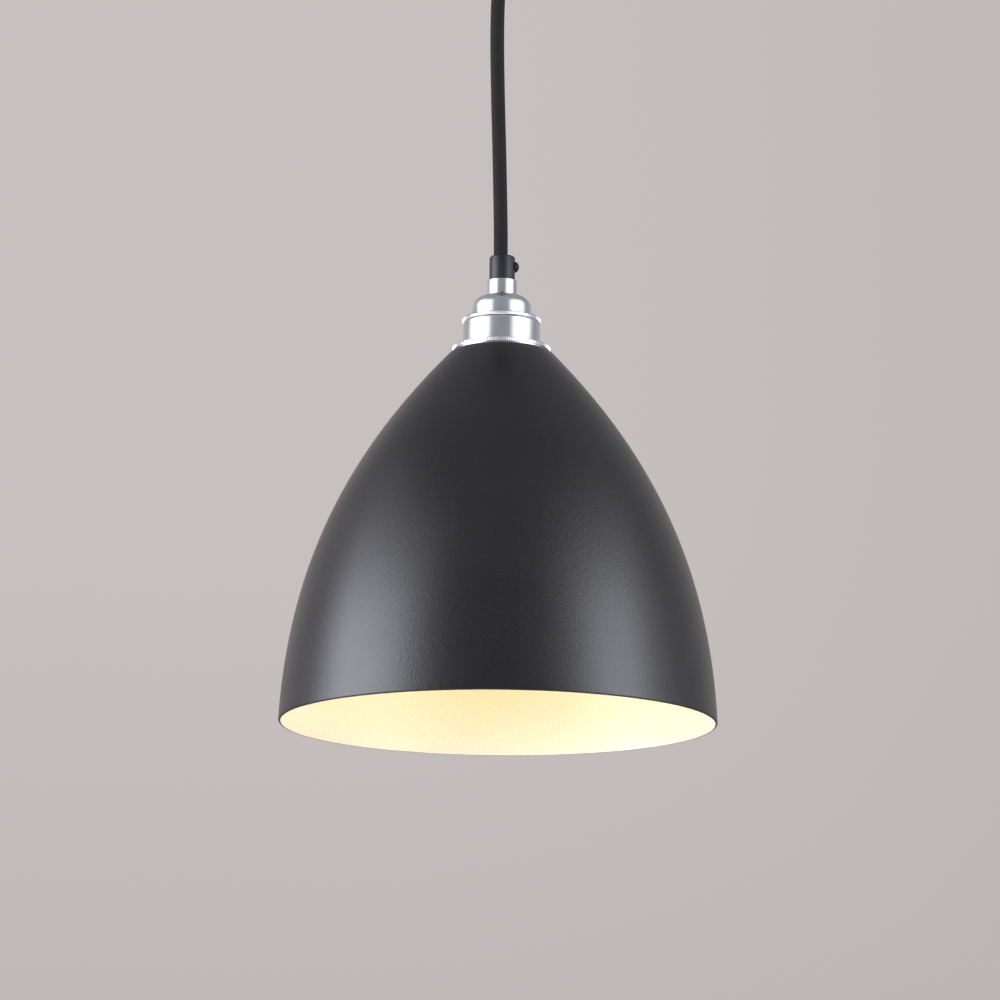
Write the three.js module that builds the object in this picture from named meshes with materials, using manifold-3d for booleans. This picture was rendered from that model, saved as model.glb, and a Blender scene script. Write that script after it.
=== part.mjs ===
// Pendant ceiling light: a ceiling rose, a braided flex held in two cord grips, a metal
// lampholder with two shade rings, a spun bell shade and a screw-in bulb.
// Millimetres, +Z up. The origin is the centre of the strap's face against the ceiling.

import * as THREE from 'three';
import { mergeVertices } from 'three/addons/utils/BufferGeometryUtils.js';
import Module from 'manifold-3d';

const wasm = await Module();
wasm.setup();

// ---------------------------------------------------------------- driving dimensions

const seat = 0.3;               // gap between faces that rest on each other
const running = 0.3;            // radial gap round a thread or a screw

// flex and its cord grips
const flexRadius = 3.4;
const flexFreedom = 1.2;        // radial gap round the flex in a grip
const coreRadius = 1.0;
const coreSpread = 1.7;         // from the flex's axis to the axis of each core
const gripWall = 1.65;
const gripLength = 11.9;
const gripMouthFlare = 0.4;     // the bore opens by this at the mouth
const gripMouthDepth = 0.8;
const gripEdge = 1.2;           // rounding of the grip's outer edge at the mouth
const stemWall = 1.2;
const stemLength = 8;
const gripScrewDrop = 5.1;      // from the mouth to the side screw
const gripScrewSize = { shank: 1.8, head: 2.6, height: 2.2 };
const tailRecess = 2.2;         // from the mouth to where the flex is clamped
const roseCoreRoom = 6.5;       // under the terminal block, for the cores to turn in
const lampTailOut = 1.4;        // how far the sheath shows past the grip's stem

// pan-headed screws: shank radius, head radius and head height
const terminalScrewSize = { shank: 1.2, head: 1.9, height: 1 };
const blockScrewSize = { shank: 1.2, head: 2.2, height: 1.4 };
const strapEarthScrewSize = { shank: 1.2, head: 2.6, height: 1.6 };
const capEarthScrewSize = { shank: 1.2, head: 2.2, height: 1.5 };
const pillarScrewSize = { shank: 1.1, head: 1.8, height: 1.2 };

// ceiling rose
const cupRadius = 40;
const cupHeight = 30;
const cupWall = 1.2;
const cupCorner = 7;
const cupTopGap = 0.3;          // the cup's rim clears the ceiling by this
const strapWidth = 14;
const strapThickness = 2;
const strapEar = 14;            // how far the bent ends reach down
const strapEndGap = 1.8;        // from the ears to the cup's wall
const strapSlotLength = 9;
const strapSlotWidth = 4.5;
const slotToEarthScrew = 8.5;
const earthScrewToEar = 4;
const cupScrewDrop = 9;
const cupScrewSize = { shank: 1.5, head: 3.2, height: 2.2 };
const nutAcrossFlats = 14;
const nutThickness = 3;
const blockLength = 32;
const blockWidth = 13;
const blockHeight = 11;
const terminalPitch = 8;
const terminalRadius = 2.4;
const terminalBore = 1.6;

// lampholder, from the top down; its radii follow from the bulb's thread
const neckWall = 2.1;
const neckLength = 8.1;
const lockScrewRadius = 0.8;
const lockScrewSunk = 1.2;      // below the neck's surface
const domeInset = 1.3;          // from the skirt's bore to the dome's outside
const domeHeight = 11;
const domeShoulder = 6;
const capWall = 1.5;
const capLip = 0.8;             // thickness of the cap's foot under the union ring
const unionWall = 1.85;
const unionHeight = 3;
const unionLip = 0.8;
const unionTeeth = 48;
const knurlDepth = 0.35;
const skirtFreedom = 1.6;       // from the screw shell to the skirt's bore
const skirtWall = 1.5;
const skirtLength = 37.5;
const skirtLedge = 1.5;         // thickness of the ledge that the porcelain rests on
const sleeveWall = 1.3;         // of the upper shade ring, outside the skirt
const sleeveHeight = 11.2;
const flangeReach = 5.3;        // from the sleeve to the flange's edge
const flangeThickness = 2.4;
const flangeTeeth = 60;
const lowerRingInset = 1.3;     // the lower ring is this much smaller than the flange
const lowerRingThickness = 3;
const lowerRingNotches = 4;
const porcelainHeight = 10;
const earthRingThickness = 0.6;
const earthTagInset = 3.6;      // from the cap's bore to the earth screw
const earthTagWidth = 5;
const earthScrewLength = 3;
const pillarOffset = 6.5;       // from the axis to each pillar terminal
const pillarSize = { x: 4.4, y: 7, z: 4.7 };
const pillarCorePlace = 1;      // the core's hole stands this far in front of the middle
const shellWall = 0.5;
const shellLength = 21;
const contactRadius = 4;
const contactThickness = 1;
const contactStem = 1.6;
const shellStem = 1.4;          // the side contact's rivet
const shellStemInset = 2.7;     // from the shell's bore to the rivet
const shellLip = 3;             // from the centre contact to the shell's top lip

// bulb, an E27 cap on a 60 mm globe
const bulbThreadRadius = 13;
const bulbFootRadius = 4.5;
const bulbFootHeight = 1.5;
const bulbInsulatorHeight = 2.6;
const bulbCapLength = 21.2;
const bulbCapWall = 0.5;
const collarLength = 32.5;
const collarWall = 1.6;
const globeRadius = 30;
const globeWall = 1.6;
const bulbLength = 108.8;       // from the foot's face to the bottom of the globe
const collarMouth = 28.5;
const boardThickness = 1.5;
const boardEdgeGap = 1.2;
const boardInset = 0.4;         // from the collar's mouth to the board's face
const driverWidth = 15;
const driverEndGap = 5;

// shade
const shadeHeight = 182.5;
const shadeRimRadius = 105;
const shadeWall = 1.2;
const shoulderReachOut = 4.4;   // from the flange's edge to where the bell begins
const shoulderDrop = 3.95;
const shoulderAngle = 47;       // below the horizontal, in degrees
const shoulderReach = 68;       // how long the shoulder's direction holds
const seatCorner = 1.4;         // rounding where the flat seat meets the shoulder
const rimAngle = 2.7;           // off the vertical, in degrees
const rimReach = 74;

// how finely round shapes are cut
const shadeSides = 56;
const ringSides = 36;
const turnedSides = 28;
const smallSides = 16;
const screwSides = 12;
const flexSides = 8;
const coreSides = 6;

// ---------------------------------------------------------------- heights that follow

const roseMouth = -(cupHeight + seat + gripLength);

// heights in the lamp, measured from the mouth of its cord grip
const neckTop = -gripLength - seat;
const domeTop = neckTop - neckLength;
const unionTop = domeTop - domeHeight;
const capFootTop = unionTop - unionLip - seat;
const capFootBottom = capFootTop - capLip;
const skirtTop = capFootBottom - seat - earthRingThickness - seat;
const unionBottom = unionTop - unionHeight;
const sleeveTop = unionBottom - seat;
const flangeTop = sleeveTop - sleeveHeight;
const flangeBottom = flangeTop - flangeThickness;
const shadeTop = flangeBottom - seat;
const shadeRim = shadeTop - shadeHeight;
const lowerRingTop = shadeTop - shadeWall - seat;
const porcelainTop = skirtTop;
const porcelainBottom = porcelainTop - porcelainHeight;
const shellTop = porcelainBottom - seat;
const contactBottom = shellTop - contactThickness;
const lockScrewHeight = domeTop + lockScrewRadius + running + 0.1;
const footTop = contactBottom - seat;
const insulatorTop = footTop - bulbFootHeight - seat;
const bulbCapTop = insulatorTop - bulbInsulatorHeight - seat;
const bulbCapBottom = bulbCapTop - bulbCapLength;
const collarTop = bulbCapBottom - seat;
const collarBottom = collarTop - collarLength;
const globeTop = collarBottom - seat;
const globeBottom = footTop - bulbLength;

// radii in the cord grips and the neck
const gripBore = flexRadius + flexFreedom;
const gripMouth = gripBore + gripMouthFlare;
const gripRadius = gripBore + gripWall;
const stemBore = flexRadius + running;
const stemRadius = stemBore + stemWall;
const neckBore = stemRadius + running;
const neckRadius = neckBore + neckWall;

// radii in the lampholder, from the bulb's thread outwards
const shellBore = bulbThreadRadius + running;
const shellRadius = shellBore + shellWall;
const skirtBore = shellRadius + skirtFreedom;
const skirtRadius = skirtBore + skirtWall;
const ringBore = skirtRadius + running;
const sleeveRadius = ringBore + sleeveWall;
const unionRadius = ringBore + unionWall;
const flangeRadius = sleeveRadius + flangeReach;
const lowerRingRadius = flangeRadius - lowerRingInset;
const porcelainRadius = skirtBore - running;
const domeRadius = skirtBore - domeInset;
const capBore = domeRadius - capWall;
const earthTagPlace = capBore - earthTagInset;
const shellStemPlace = shellBore - shellStemInset;
const shoulderRadius = flangeRadius + shoulderReachOut;

// ---------------------------------------------------------------- the flex's route

// From the rose's mouth down to the lamp's: how far it has come down, and how far it
// stands off the axis. Each side screw presses it to one side of its grip, and between
// them it keeps a slight bow from the reel.
const flexRoute = [
  [0, -0.8], [7, -0.82], [14, -0.95], [23, -1.35], [33, -1.95], [44, -2.65],
  [55, -3.2], [66, -3.5], [77, -3.55], [89, -3.4], [101, -3.1], [113, -2.75],
  [125, -2.35], [137, -1.95], [149, -1.6], [160, -1.3], [170, -1.05], [179, -0.88],
  [190, -0.8],
].map(([down, aside]) => new THREE.Vector3(aside, 0, roseMouth - down));
const flexAside = flexRoute[0].x;
const lampMouth = flexRoute.at(-1).z;

// ---------------------------------------------------------------- making solids

// A geometry's points, merged, as a solid whose faces point out.
function solidOf(geometry) {
  const bare = geometry.clone();
  bare.deleteAttribute('normal');
  bare.deleteAttribute('uv');
  const merged = mergeVertices(bare, 1e-4);
  const points = merged.attributes.position;
  const index = Array.from(merged.index.array);
  const corner = [new THREE.Vector3(), new THREE.Vector3(), new THREE.Vector3()];
  const faces = [];
  let volume = 0;
  for (let i = 0; i < index.length; i += 3) {
    const [a, b, c] = index.slice(i, i + 3);
    if (a === b || b === c || c === a) continue;
    faces.push([a, b, c]);
    [a, b, c].forEach((vertex, k) => corner[k].fromBufferAttribute(points, vertex));
    volume += corner[0].dot(corner[1].cross(corner[2]));
  }
  const outward = faces.map(([a, b, c]) => (volume > 0 ? [a, b, c] : [a, c, b]));
  return new wasm.Manifold(new wasm.Mesh({
    numProp: 3,
    vertProperties: new Float32Array(points.array),
    triVerts: new Uint32Array(outward.flat()),
  }));
}

function geometryOf(solid) {
  const mesh = solid.getMesh();
  const geometry = new THREE.BufferGeometry();
  geometry.setAttribute('position', new THREE.BufferAttribute(new Float32Array(mesh.vertProperties), 3));
  geometry.setIndex(new THREE.BufferAttribute(new Uint32Array(mesh.triVerts), 1));
  geometry.computeVertexNormals();
  return geometry;
}

// A profile of [radius, height] points turned about Z. It closes on itself.
function turned(profile, sides) {
  const points = profile.map(([radius, height]) => new THREE.Vector2(radius, height));
  const lathe = new THREE.LatheGeometry([...points, points[0].clone()], sides);
  return solidOf(lathe.rotateX(Math.PI / 2));
}

// A plain ring or disc between two heights.
function ring(inner, outer, bottom, top, sides) {
  return turned([[inner, bottom], [outer, bottom], [outer, top], [inner, top]], sides);
}

function disc(radius, bottom, top, sides) {
  return ring(0, radius, bottom, top, sides);
}

// A rod from one point along a direction, for pins and for the holes they need.
function rod(radius, from, direction, length, sides = screwSides) {
  const cylinder = new THREE.CylinderGeometry(radius, radius, length, sides);
  cylinder.translate(0, length / 2, 0);
  const up = new THREE.Vector3(0, 1, 0);
  cylinder.applyQuaternion(new THREE.Quaternion().setFromUnitVectors(up, direction));
  cylinder.translate(from.x, from.y, from.z);
  return solidOf(cylinder);
}

function block(size, centre) {
  const box = new THREE.BoxGeometry(size.x, size.y, size.z);
  return solidOf(box.translate(centre.x, centre.y, centre.z));
}

// A flat outline pushed up from one height to another.
function raised(shape, bottom, top) {
  const slab = new THREE.ExtrudeGeometry(shape, {
    depth: top - bottom, bevelEnabled: false, curveSegments: smallSides,
  });
  return solidOf(slab.translate(0, 0, bottom));
}

function tube(points, radius, sides, steps) {
  const section = new THREE.Shape();
  for (let i = 0; i < sides; i += 1) {
    const angle = (i / sides) * 2 * Math.PI;
    const place = [radius * Math.cos(angle), radius * Math.sin(angle)];
    if (i === 0) section.moveTo(...place);
    else section.lineTo(...place);
  }
  section.closePath();
  const extrudePath = new THREE.CatmullRomCurve3(points, false, 'centripetal');
  return solidOf(new THREE.ExtrudeGeometry(section, { steps, bevelEnabled: false, extrudePath }));
}

// A disc whose edge is cut into straight teeth.
function knurledDisc(radius, teeth, bottom, top) {
  const outline = new THREE.Shape();
  for (let i = 0; i < 2 * teeth; i += 1) {
    const reach = i % 2 ? radius - knurlDepth : radius;
    const angle = (i / (2 * teeth)) * 2 * Math.PI;
    const place = [reach * Math.cos(angle), reach * Math.sin(angle)];
    if (i === 0) outline.moveTo(...place);
    else outline.lineTo(...place);
  }
  outline.closePath();
  return raised(outline, bottom, top);
}

// A quarter of a circle from one point to another, by way of the corner between them.
function rounded(from, corner, to, steps = 3) {
  const centre = [from[0] + to[0] - corner[0], from[1] + to[1] - corner[1]];
  return Array.from({ length: steps + 1 }, (_, i) => {
    const angle = (i / steps) * (Math.PI / 2);
    return [0, 1].map((k) => centre[k]
      + (from[k] - centre[k]) * Math.cos(angle) + (to[k] - centre[k]) * Math.sin(angle));
  });
}

const axisX = new THREE.Vector3(1, 0, 0);
const axisY = new THREE.Vector3(0, 1, 0);
const axisZ = new THREE.Vector3(0, 0, 1);
const frontward = axisY.clone().negate();
const at = (x, y, z) => new THREE.Vector3(x, y, z);

// ---------------------------------------------------------------- finishes

const finishes = {
  blackPowder: { color: 0x26262a, roughness: 0.55, metalness: 0.1 },
  polishedAluminium: { color: 0xc9cbd0, roughness: 0.18, metalness: 1 },
  blackNylon: { color: 0x1c1c1f, roughness: 0.45, metalness: 0 },
  blackBraid: { color: 0x1d1b1d, roughness: 0.85, metalness: 0 },
  zincSteel: { color: 0x9a9ca0, roughness: 0.35, metalness: 1 },
  brass: { color: 0xb89650, roughness: 0.3, metalness: 1 },
  whiteNylon: { color: 0xe4e2dc, roughness: 0.5, metalness: 0 },
  porcelain: { color: 0xf0ede4, roughness: 0.25, metalness: 0 },
  brownSleeve: { color: 0x5b3421, roughness: 0.5, metalness: 0 },
  blueSleeve: { color: 0x1f5fa8, roughness: 0.5, metalness: 0 },
  earthSleeve: { color: 0x6f9a2b, roughness: 0.5, metalness: 0 },
  nickel: { color: 0xbdbab2, roughness: 0.25, metalness: 1 },
  blackGlass: { color: 0x101014, roughness: 0.15, metalness: 0 },
  opal: { color: 0xfff1d6, roughness: 0.5, metalness: 0 },
  circuitBoard: { color: 0xe9ebe8, roughness: 0.5, metalness: 0 },
};

function piece(name, solid, finish) {
  const mesh = new THREE.Mesh(geometryOf(solid), new THREE.MeshStandardMaterial(finishes[finish]));
  mesh.name = name;
  return mesh;
}

// ---------------------------------------------------------------- screws

// A screw with a domed head, along Z from its tip: the head sits at the height neck.
function domedScrew(tip, neck, size) {
  return turned([
    [0, tip],
    [size.shank, tip],
    [size.shank, neck],
    [size.head, neck],
    [size.head, neck + 0.4 * size.height],
    [0.6 * size.head, neck + 0.87 * size.height],
    [0, neck + size.height],
  ], smallSides);
}

// A slotted pan-headed screw standing on its head, its shank reaching up from z = 0.
function panScrew(size, shankLength) {
  const slot = { width: 0.5, depth: 0.45 * size.height };
  const body = turned([
    [0, -size.height],
    [size.head - 0.3 * size.height, -size.height],
    [size.head, -0.7 * size.height],
    [size.head, 0],
    [size.shank, 0],
    [size.shank, shankLength],
    [0, shankLength],
  ], screwSides);
  return body.subtract(block(at(4 * size.head, slot.width, 2 * slot.depth), at(0, 0, -size.height)));
}

// ---------------------------------------------------------------- cord grip

// Built with its mouth at z = 0 and its threaded stem reaching down.
function gripBody() {
  const foot = -gripLength;
  const end = foot - stemLength;
  const body = turned([
    [gripMouth, 0],
    ...rounded([gripRadius - gripEdge, 0], [gripRadius, 0], [gripRadius, -gripEdge], 2),
    [gripRadius, foot],
    [stemRadius, foot],
    [stemRadius, end],
    [stemBore, end],
    [stemBore, foot],
    [gripBore, foot + (gripBore - stemBore)],
    [gripBore, -gripMouthDepth],
  ], turnedSides);
  const hole = rod(gripScrewSize.shank + running, at(0, 0, -gripScrewDrop), axisX, 2 * gripRadius);
  return body.subtract(hole);
}

function gripScrew() {
  const tip = flexAside + flexRadius + seat;
  const shank = domedScrew(tip, gripRadius + seat, gripScrewSize);
  return shank.rotate([0, 90, 0]).translate([0, 0, -gripScrewDrop]);
}

// The clamped end of the flex, from just inside the mouth to where its cores come out.
function flexTail(length) {
  return tube([
    at(flexAside, 0, -tailRecess),
    at(flexAside, 0, -gripScrewDrop),
    at(0.4 * flexAside, 0, -gripLength + 2),
    at(0, 0, -gripLength),
    at(0, 0, -gripLength - stemLength / 2),
    at(0, 0, -length),
  ], flexRadius, flexSides, 8);
}

// ---------------------------------------------------------------- ceiling rose

const cupBore = cupRadius - cupWall;
const strapHalf = cupBore - strapEndGap;
const blockTop = -strapThickness - seat;
const terminalHeight = blockTop - blockHeight / 2;
const terminalPlaces = [-terminalPitch, 0, terminalPitch];
const blockScrewPlace = (terminalPitch + terminalRadius + blockLength / 2) / 2;
const earthScrewPlace = strapHalf - strapThickness - earthScrewToEar;
const strapSlotOffset = earthScrewPlace - slotToEarthScrew;

function mountingStrap() {
  const bend = strapThickness;
  const outline = new THREE.Shape();
  outline.moveTo(-strapHalf, -strapEar);
  outline.lineTo(-strapHalf + bend, -strapEar);
  outline.lineTo(-strapHalf + bend, -strapThickness);
  outline.lineTo(strapHalf - bend, -strapThickness);
  outline.lineTo(strapHalf - bend, -strapEar);
  outline.lineTo(strapHalf, -strapEar);
  outline.lineTo(strapHalf, 0);
  outline.lineTo(-strapHalf, 0);
  outline.closePath();
  const slab = new THREE.ExtrudeGeometry(outline, { depth: strapWidth, bevelEnabled: false });
  slab.translate(0, 0, -strapWidth / 2).rotateX(Math.PI / 2);
  let strap = solidOf(slab);
  const below = -2 * strapThickness;
  const through = 3 * strapThickness;
  for (const side of [-1, 1]) {
    const reach = (strapSlotLength - strapSlotWidth) / 2;
    const middle = side * strapSlotOffset;
    const slotWidth = at(2 * reach, strapSlotWidth, through);
    strap = strap.subtract(block(slotWidth, at(middle, 0, below + through / 2)));
    for (const end of [-reach, reach]) {
      const corner = at(middle + end, 0, below);
      strap = strap.subtract(rod(strapSlotWidth / 2, corner, axisZ, through, smallSides));
    }
    const earHole = at(side * (strapHalf - 2 * strapThickness), 0, -cupScrewDrop);
    const outward = axisX.clone().multiplyScalar(side);
    strap = strap.subtract(rod(cupScrewSize.shank + running, earHole, outward, through));
  }
  for (const [place, size] of [[blockScrewPlace, blockScrewSize], [earthScrewPlace, strapEarthScrewSize]]) {
    strap = strap.subtract(rod(size.shank + running, at(place, 0, below), axisZ, through));
  }
  return strap;
}

function roseCup() {
  const inner = cupBore;
  const floor = -cupHeight + cupWall;
  const innerCorner = cupCorner - cupWall;
  const cup = turned([
    [neckBore, -cupHeight],
    ...rounded(
      [cupRadius - cupCorner, -cupHeight],
      [cupRadius, -cupHeight],
      [cupRadius, -cupHeight + cupCorner],
    ),
    [cupRadius, -cupTopGap],
    [inner, -cupTopGap],
    ...rounded([inner, floor + innerCorner], [inner, floor], [inner - innerCorner, floor]),
    [neckBore, floor],
  ], ringSides);
  const from = at(-cupRadius - cupWall, 0, -cupScrewDrop);
  return cup.subtract(rod(cupScrewSize.shank + running, from, axisX, 2 * (cupRadius + cupWall)));
}

// Through the cup's wall into the strap's ear.
function cupScrew(side) {
  const tip = strapHalf - strapThickness - seat;
  const neck = cupRadius + seat;
  const screw = domedScrew(tip, neck, cupScrewSize);
  return screw.rotate([0, side * 90, 0]).translate([0, 0, -cupScrewDrop]);
}

function gripNut() {
  const corner = nutAcrossFlats / 2 / Math.cos(Math.PI / 6);
  const bottom = -cupHeight + cupWall + seat;
  const hexagon = disc(corner, bottom, bottom + nutThickness, 6);
  return hexagon.subtract(disc(neckBore, bottom - 1, bottom + nutThickness + 1, turnedSides));
}

function terminalBlock() {
  const size = at(blockLength, blockWidth, blockHeight);
  let body = block(size, at(0, 0, blockTop - blockHeight / 2));
  for (const x of terminalPlaces) {
    const front = at(x, -blockWidth, terminalHeight);
    const under = at(x, 0, terminalHeight - blockHeight);
    body = body
      .subtract(rod(terminalRadius + running, front, axisY, 2 * blockWidth, smallSides))
      .subtract(rod(terminalScrewSize.head + running, under, axisZ, blockHeight));
  }
  const fixing = at(blockScrewPlace, 0, blockTop - 2 * blockHeight);
  return body.subtract(rod(blockScrewSize.shank + running, fixing, axisZ, 3 * blockHeight));
}

function terminalInsert(x) {
  const length = blockWidth - 2 * seat;
  const from = at(x, -length / 2, terminalHeight);
  const barrel = rod(terminalRadius, from, axisY, length, smallSides);
  const bore = rod(terminalBore, at(x, -blockWidth, terminalHeight), axisY, 2 * blockWidth);
  const under = at(x, 0, terminalHeight - 2 * terminalRadius);
  const screwHole = rod(terminalScrewSize.shank + running, under, axisZ, 2 * terminalRadius);
  return barrel.subtract(bore).subtract(screwHole);
}

function terminalScrew(x) {
  const head = terminalHeight - terminalRadius - seat;
  const length = terminalHeight - terminalBore + 0.4 - head;
  return panScrew(terminalScrewSize, length).translate([x, 0, head]);
}

const roseTailLength = blockTop - blockHeight - roseCoreRoom - roseMouth;

function roseCore(x, index) {
  const turn = (5 * Math.PI) / 6 + (index * 2 * Math.PI) / 3;
  const foot = roseMouth + roseTailLength + 2 * seat;
  const start = at(coreSpread * Math.cos(turn), coreSpread * Math.sin(turn), foot);
  const front = -blockWidth / 2;
  const under = blockTop - blockHeight;
  return tube([
    start,
    at(1.15 * start.x, 1.15 * start.y, Math.max(start.z + 1.2, roseMouth + gripLength + stemLength + 1.4)),
    at(0.5 * x, front + 1.5, under - 2.2),
    at(0.85 * x, front - 3.4, under + 0.2),
    at(x, front - 4.6, terminalHeight - 2.2),
    at(x, front - 2.8, terminalHeight),
    at(x, front + 1, terminalHeight),
    at(x, front + 4, terminalHeight),
  ], coreRadius, coreSides, 18);
}

const coreNames = ['live', 'neutral', 'earth'];
const coreFinishes = ['brownSleeve', 'blueSleeve', 'earthSleeve'];

function ceilingRose() {
  const rose = new THREE.Group();
  rose.add(piece('mounting_strap', mountingStrap(), 'zincSteel'));
  rose.add(piece('rose_cup', roseCup(), 'blackPowder'));
  rose.add(piece('cup_screw_left', cupScrew(-1), 'zincSteel'));
  rose.add(piece('cup_screw_right', cupScrew(1), 'zincSteel'));
  rose.add(piece('rose_grip_nut', gripNut(), 'zincSteel'));
  rose.add(piece('terminal_block', terminalBlock(), 'whiteNylon'));
  terminalPlaces.forEach((x, i) => {
    rose.add(piece(`terminal_insert_${coreNames[i]}`, terminalInsert(x), 'brass'));
    rose.add(piece(`terminal_screw_${coreNames[i]}`, terminalScrew(x), 'zincSteel'));
    rose.add(piece(`rose_core_${coreNames[i]}`, roseCore(x, i), coreFinishes[i]));
  });
  const underBlock = blockTop - blockHeight - seat;
  const blockScrew = panScrew(blockScrewSize, blockHeight + 2 * seat + strapThickness / 2);
  rose.add(piece('block_screw', blockScrew.translate([blockScrewPlace, 0, underBlock]), 'zincSteel'));
  const strapScrew = panScrew(strapEarthScrewSize, strapThickness / 2 + seat);
  rose.add(piece('strap_earth_screw', strapScrew.translate([earthScrewPlace, 0, blockTop]), 'brass'));
  const grip = new THREE.Group();
  grip.add(piece('rose_grip', gripBody(), 'blackNylon'));
  grip.add(piece('rose_grip_screw', gripScrew(), 'blackNylon'));
  grip.add(piece('rose_flex_tail', flexTail(roseTailLength), 'blackBraid'));
  grip.rotation.x = Math.PI;
  grip.position.z = roseMouth;
  rose.add(grip);
  return rose;
}

// ---------------------------------------------------------------- lampholder

function holderCap() {
  const inside = domeTop - capWall;
  const shoulderIn = domeShoulder - capWall;
  const cap = turned([
    [neckBore, neckTop],
    [neckRadius - 0.4, neckTop],
    [neckRadius, neckTop - 0.4],
    [neckRadius, domeTop],
    ...rounded(
      [domeRadius - domeShoulder, domeTop],
      [domeRadius, domeTop],
      [domeRadius, domeTop - domeShoulder],
      5,
    ),
    [domeRadius, capFootTop],
    [skirtRadius, capFootTop],
    [skirtRadius, capFootBottom],
    [capBore, capFootBottom],
    ...rounded([capBore, inside - shoulderIn], [capBore, inside], [capBore - shoulderIn, inside]),
    [neckBore, inside],
  ], turnedSides);
  const middle = at(0, 0, lockScrewHeight);
  return cap.subtract(rod(lockScrewRadius + running, middle, frontward, 2 * neckRadius));
}

function lockScrew() {
  const tip = at(0, -neckBore, lockScrewHeight);
  return rod(lockScrewRadius, tip, frontward, neckRadius - neckBore - lockScrewSunk);
}

function unionRing() {
  const lipBore = domeRadius + running;
  const lipBottom = unionTop - unionLip;
  return knurledDisc(unionRadius, unionTeeth, unionBottom, unionTop)
    .subtract(disc(lipBore, unionBottom - 1, unionTop + 1, ringSides))
    .subtract(disc(ringBore, unionBottom - 1, lipBottom, ringSides));
}

function holderSkirt() {
  const bottom = skirtTop - skirtLength;
  const ledgeTop = porcelainBottom - seat;
  const ledgeBore = shellRadius + running;
  return turned([
    [skirtBore, bottom],
    [skirtRadius, bottom],
    [skirtRadius, skirtTop],
    [skirtBore, skirtTop],
    [skirtBore, ledgeTop],
    [ledgeBore, ledgeTop],
    [ledgeBore, ledgeTop - skirtLedge],
    [skirtBore, ledgeTop - skirtLedge],
  ], ringSides);
}

function upperShadeRing() {
  const flange = knurledDisc(flangeRadius, flangeTeeth, flangeBottom, flangeTop);
  const sleeve = disc(sleeveRadius, flangeBottom + flangeThickness / 2, sleeveTop, ringSides);
  return flange.add(sleeve).subtract(disc(ringBore, flangeBottom - 1, sleeveTop + 1, ringSides));
}

function lowerShadeRing() {
  const bottom = lowerRingTop - lowerRingThickness;
  let body = ring(ringBore, lowerRingRadius, bottom, lowerRingTop, ringSides);
  const notch = at(4, lowerRingRadius / 4, 2 * lowerRingThickness);
  for (let i = 0; i < lowerRingNotches; i += 1) {
    const cutter = block(notch, at(0, lowerRingRadius, bottom));
    body = body.subtract(cutter.rotate([0, 0, (i * 360) / lowerRingNotches]));
  }
  return body;
}

const pillarMiddle = porcelainTop + seat + pillarSize.z / 2;
const pillarTop = pillarMiddle + pillarSize.z / 2;

function porcelainInsert() {
  let body = disc(porcelainRadius, porcelainBottom, porcelainTop, turnedSides);
  const under = porcelainBottom - 1;
  const through = porcelainHeight + 2;
  body = body.subtract(rod(contactStem + running, at(0, 0, under), axisZ, through));
  body = body.subtract(rod(shellStem + running, at(shellStemPlace, 0, under), axisZ, through));
  const blindHole = at(0, earthTagPlace, porcelainTop - earthScrewLength);
  return body.subtract(rod(capEarthScrewSize.shank + running, blindHole, axisZ, 2 * earthScrewLength));
}

// The brass ring that earths the cap, with a tag inwards for its screw.
function earthRing() {
  const top = capFootBottom - seat;
  const bottom = top - earthRingThickness;
  const band = ring(capBore + running, porcelainRadius, bottom, top, turnedSides);
  const tagStart = earthTagPlace - earthTagWidth / 2;
  const tagLength = (capBore + porcelainRadius) / 2 - tagStart;
  const tag = block(
    at(earthTagWidth, tagLength, earthRingThickness),
    at(0, tagStart + tagLength / 2, (top + bottom) / 2),
  );
  const under = at(0, earthTagPlace, bottom - earthRingThickness);
  return band.add(tag).subtract(rod(capEarthScrewSize.shank + running, under, axisZ, 3 * earthRingThickness));
}

function earthScrew() {
  const screw = panScrew(capEarthScrewSize, earthScrewLength);
  return screw.rotate([180, 0, 0]).translate([0, earthTagPlace, capFootBottom]);
}

// A brass pillar with a hole down it for the core and a screw in from the back.
function pillar(side) {
  const x = side * pillarOffset;
  const body = block(pillarSize, at(x, 0, pillarMiddle));
  const meeting = at(x, -pillarCorePlace, pillarMiddle);
  return body
    .subtract(rod(coreRadius + running, meeting, axisZ, pillarSize.z))
    .subtract(rod(pillarScrewSize.shank + running, meeting, axisY, pillarSize.y));
}

function pillarScrew(side) {
  const face = pillarSize.y / 2 + seat;
  const tip = coreRadius - pillarCorePlace + seat;
  const screw = panScrew(pillarScrewSize, face - tip);
  return screw.rotate([90, 0, 0]).translate([side * pillarOffset, face, pillarMiddle]);
}

function lampCore(index) {
  const turn = Math.PI / 2 + ((index + 1) * 2 * Math.PI) / 3;
  const head = -lampTailLength - 2 * seat;
  const start = at(coreSpread * Math.cos(turn), coreSpread * Math.sin(turn), head);
  const lead = at(1.15 * start.x, 1.15 * start.y, start.z - 1.4);
  if (index === 2) {
    const beside = earthTagPlace - capEarthScrewSize.head - coreRadius - 2 * running;
    return tube([
      start,
      lead,
      at(0, beside, start.z - 5),
      at(0, beside, start.z - 8),
      at(0, beside, capFootBottom + seat),
    ], coreRadius, coreSides, 10);
  }
  const x = index === 0 ? -pillarOffset : pillarOffset;
  return tube([
    start,
    lead,
    at(0.9 * x, -1.2 * pillarCorePlace, pillarTop + 3.4),
    at(x, -pillarCorePlace, pillarTop + 1.2),
    at(x, -pillarCorePlace, pillarMiddle + pillarScrewSize.shank - 0.6),
  ], coreRadius, coreSides, 10);
}

const lampTailLength = gripLength + stemLength + lampTailOut;

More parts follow.
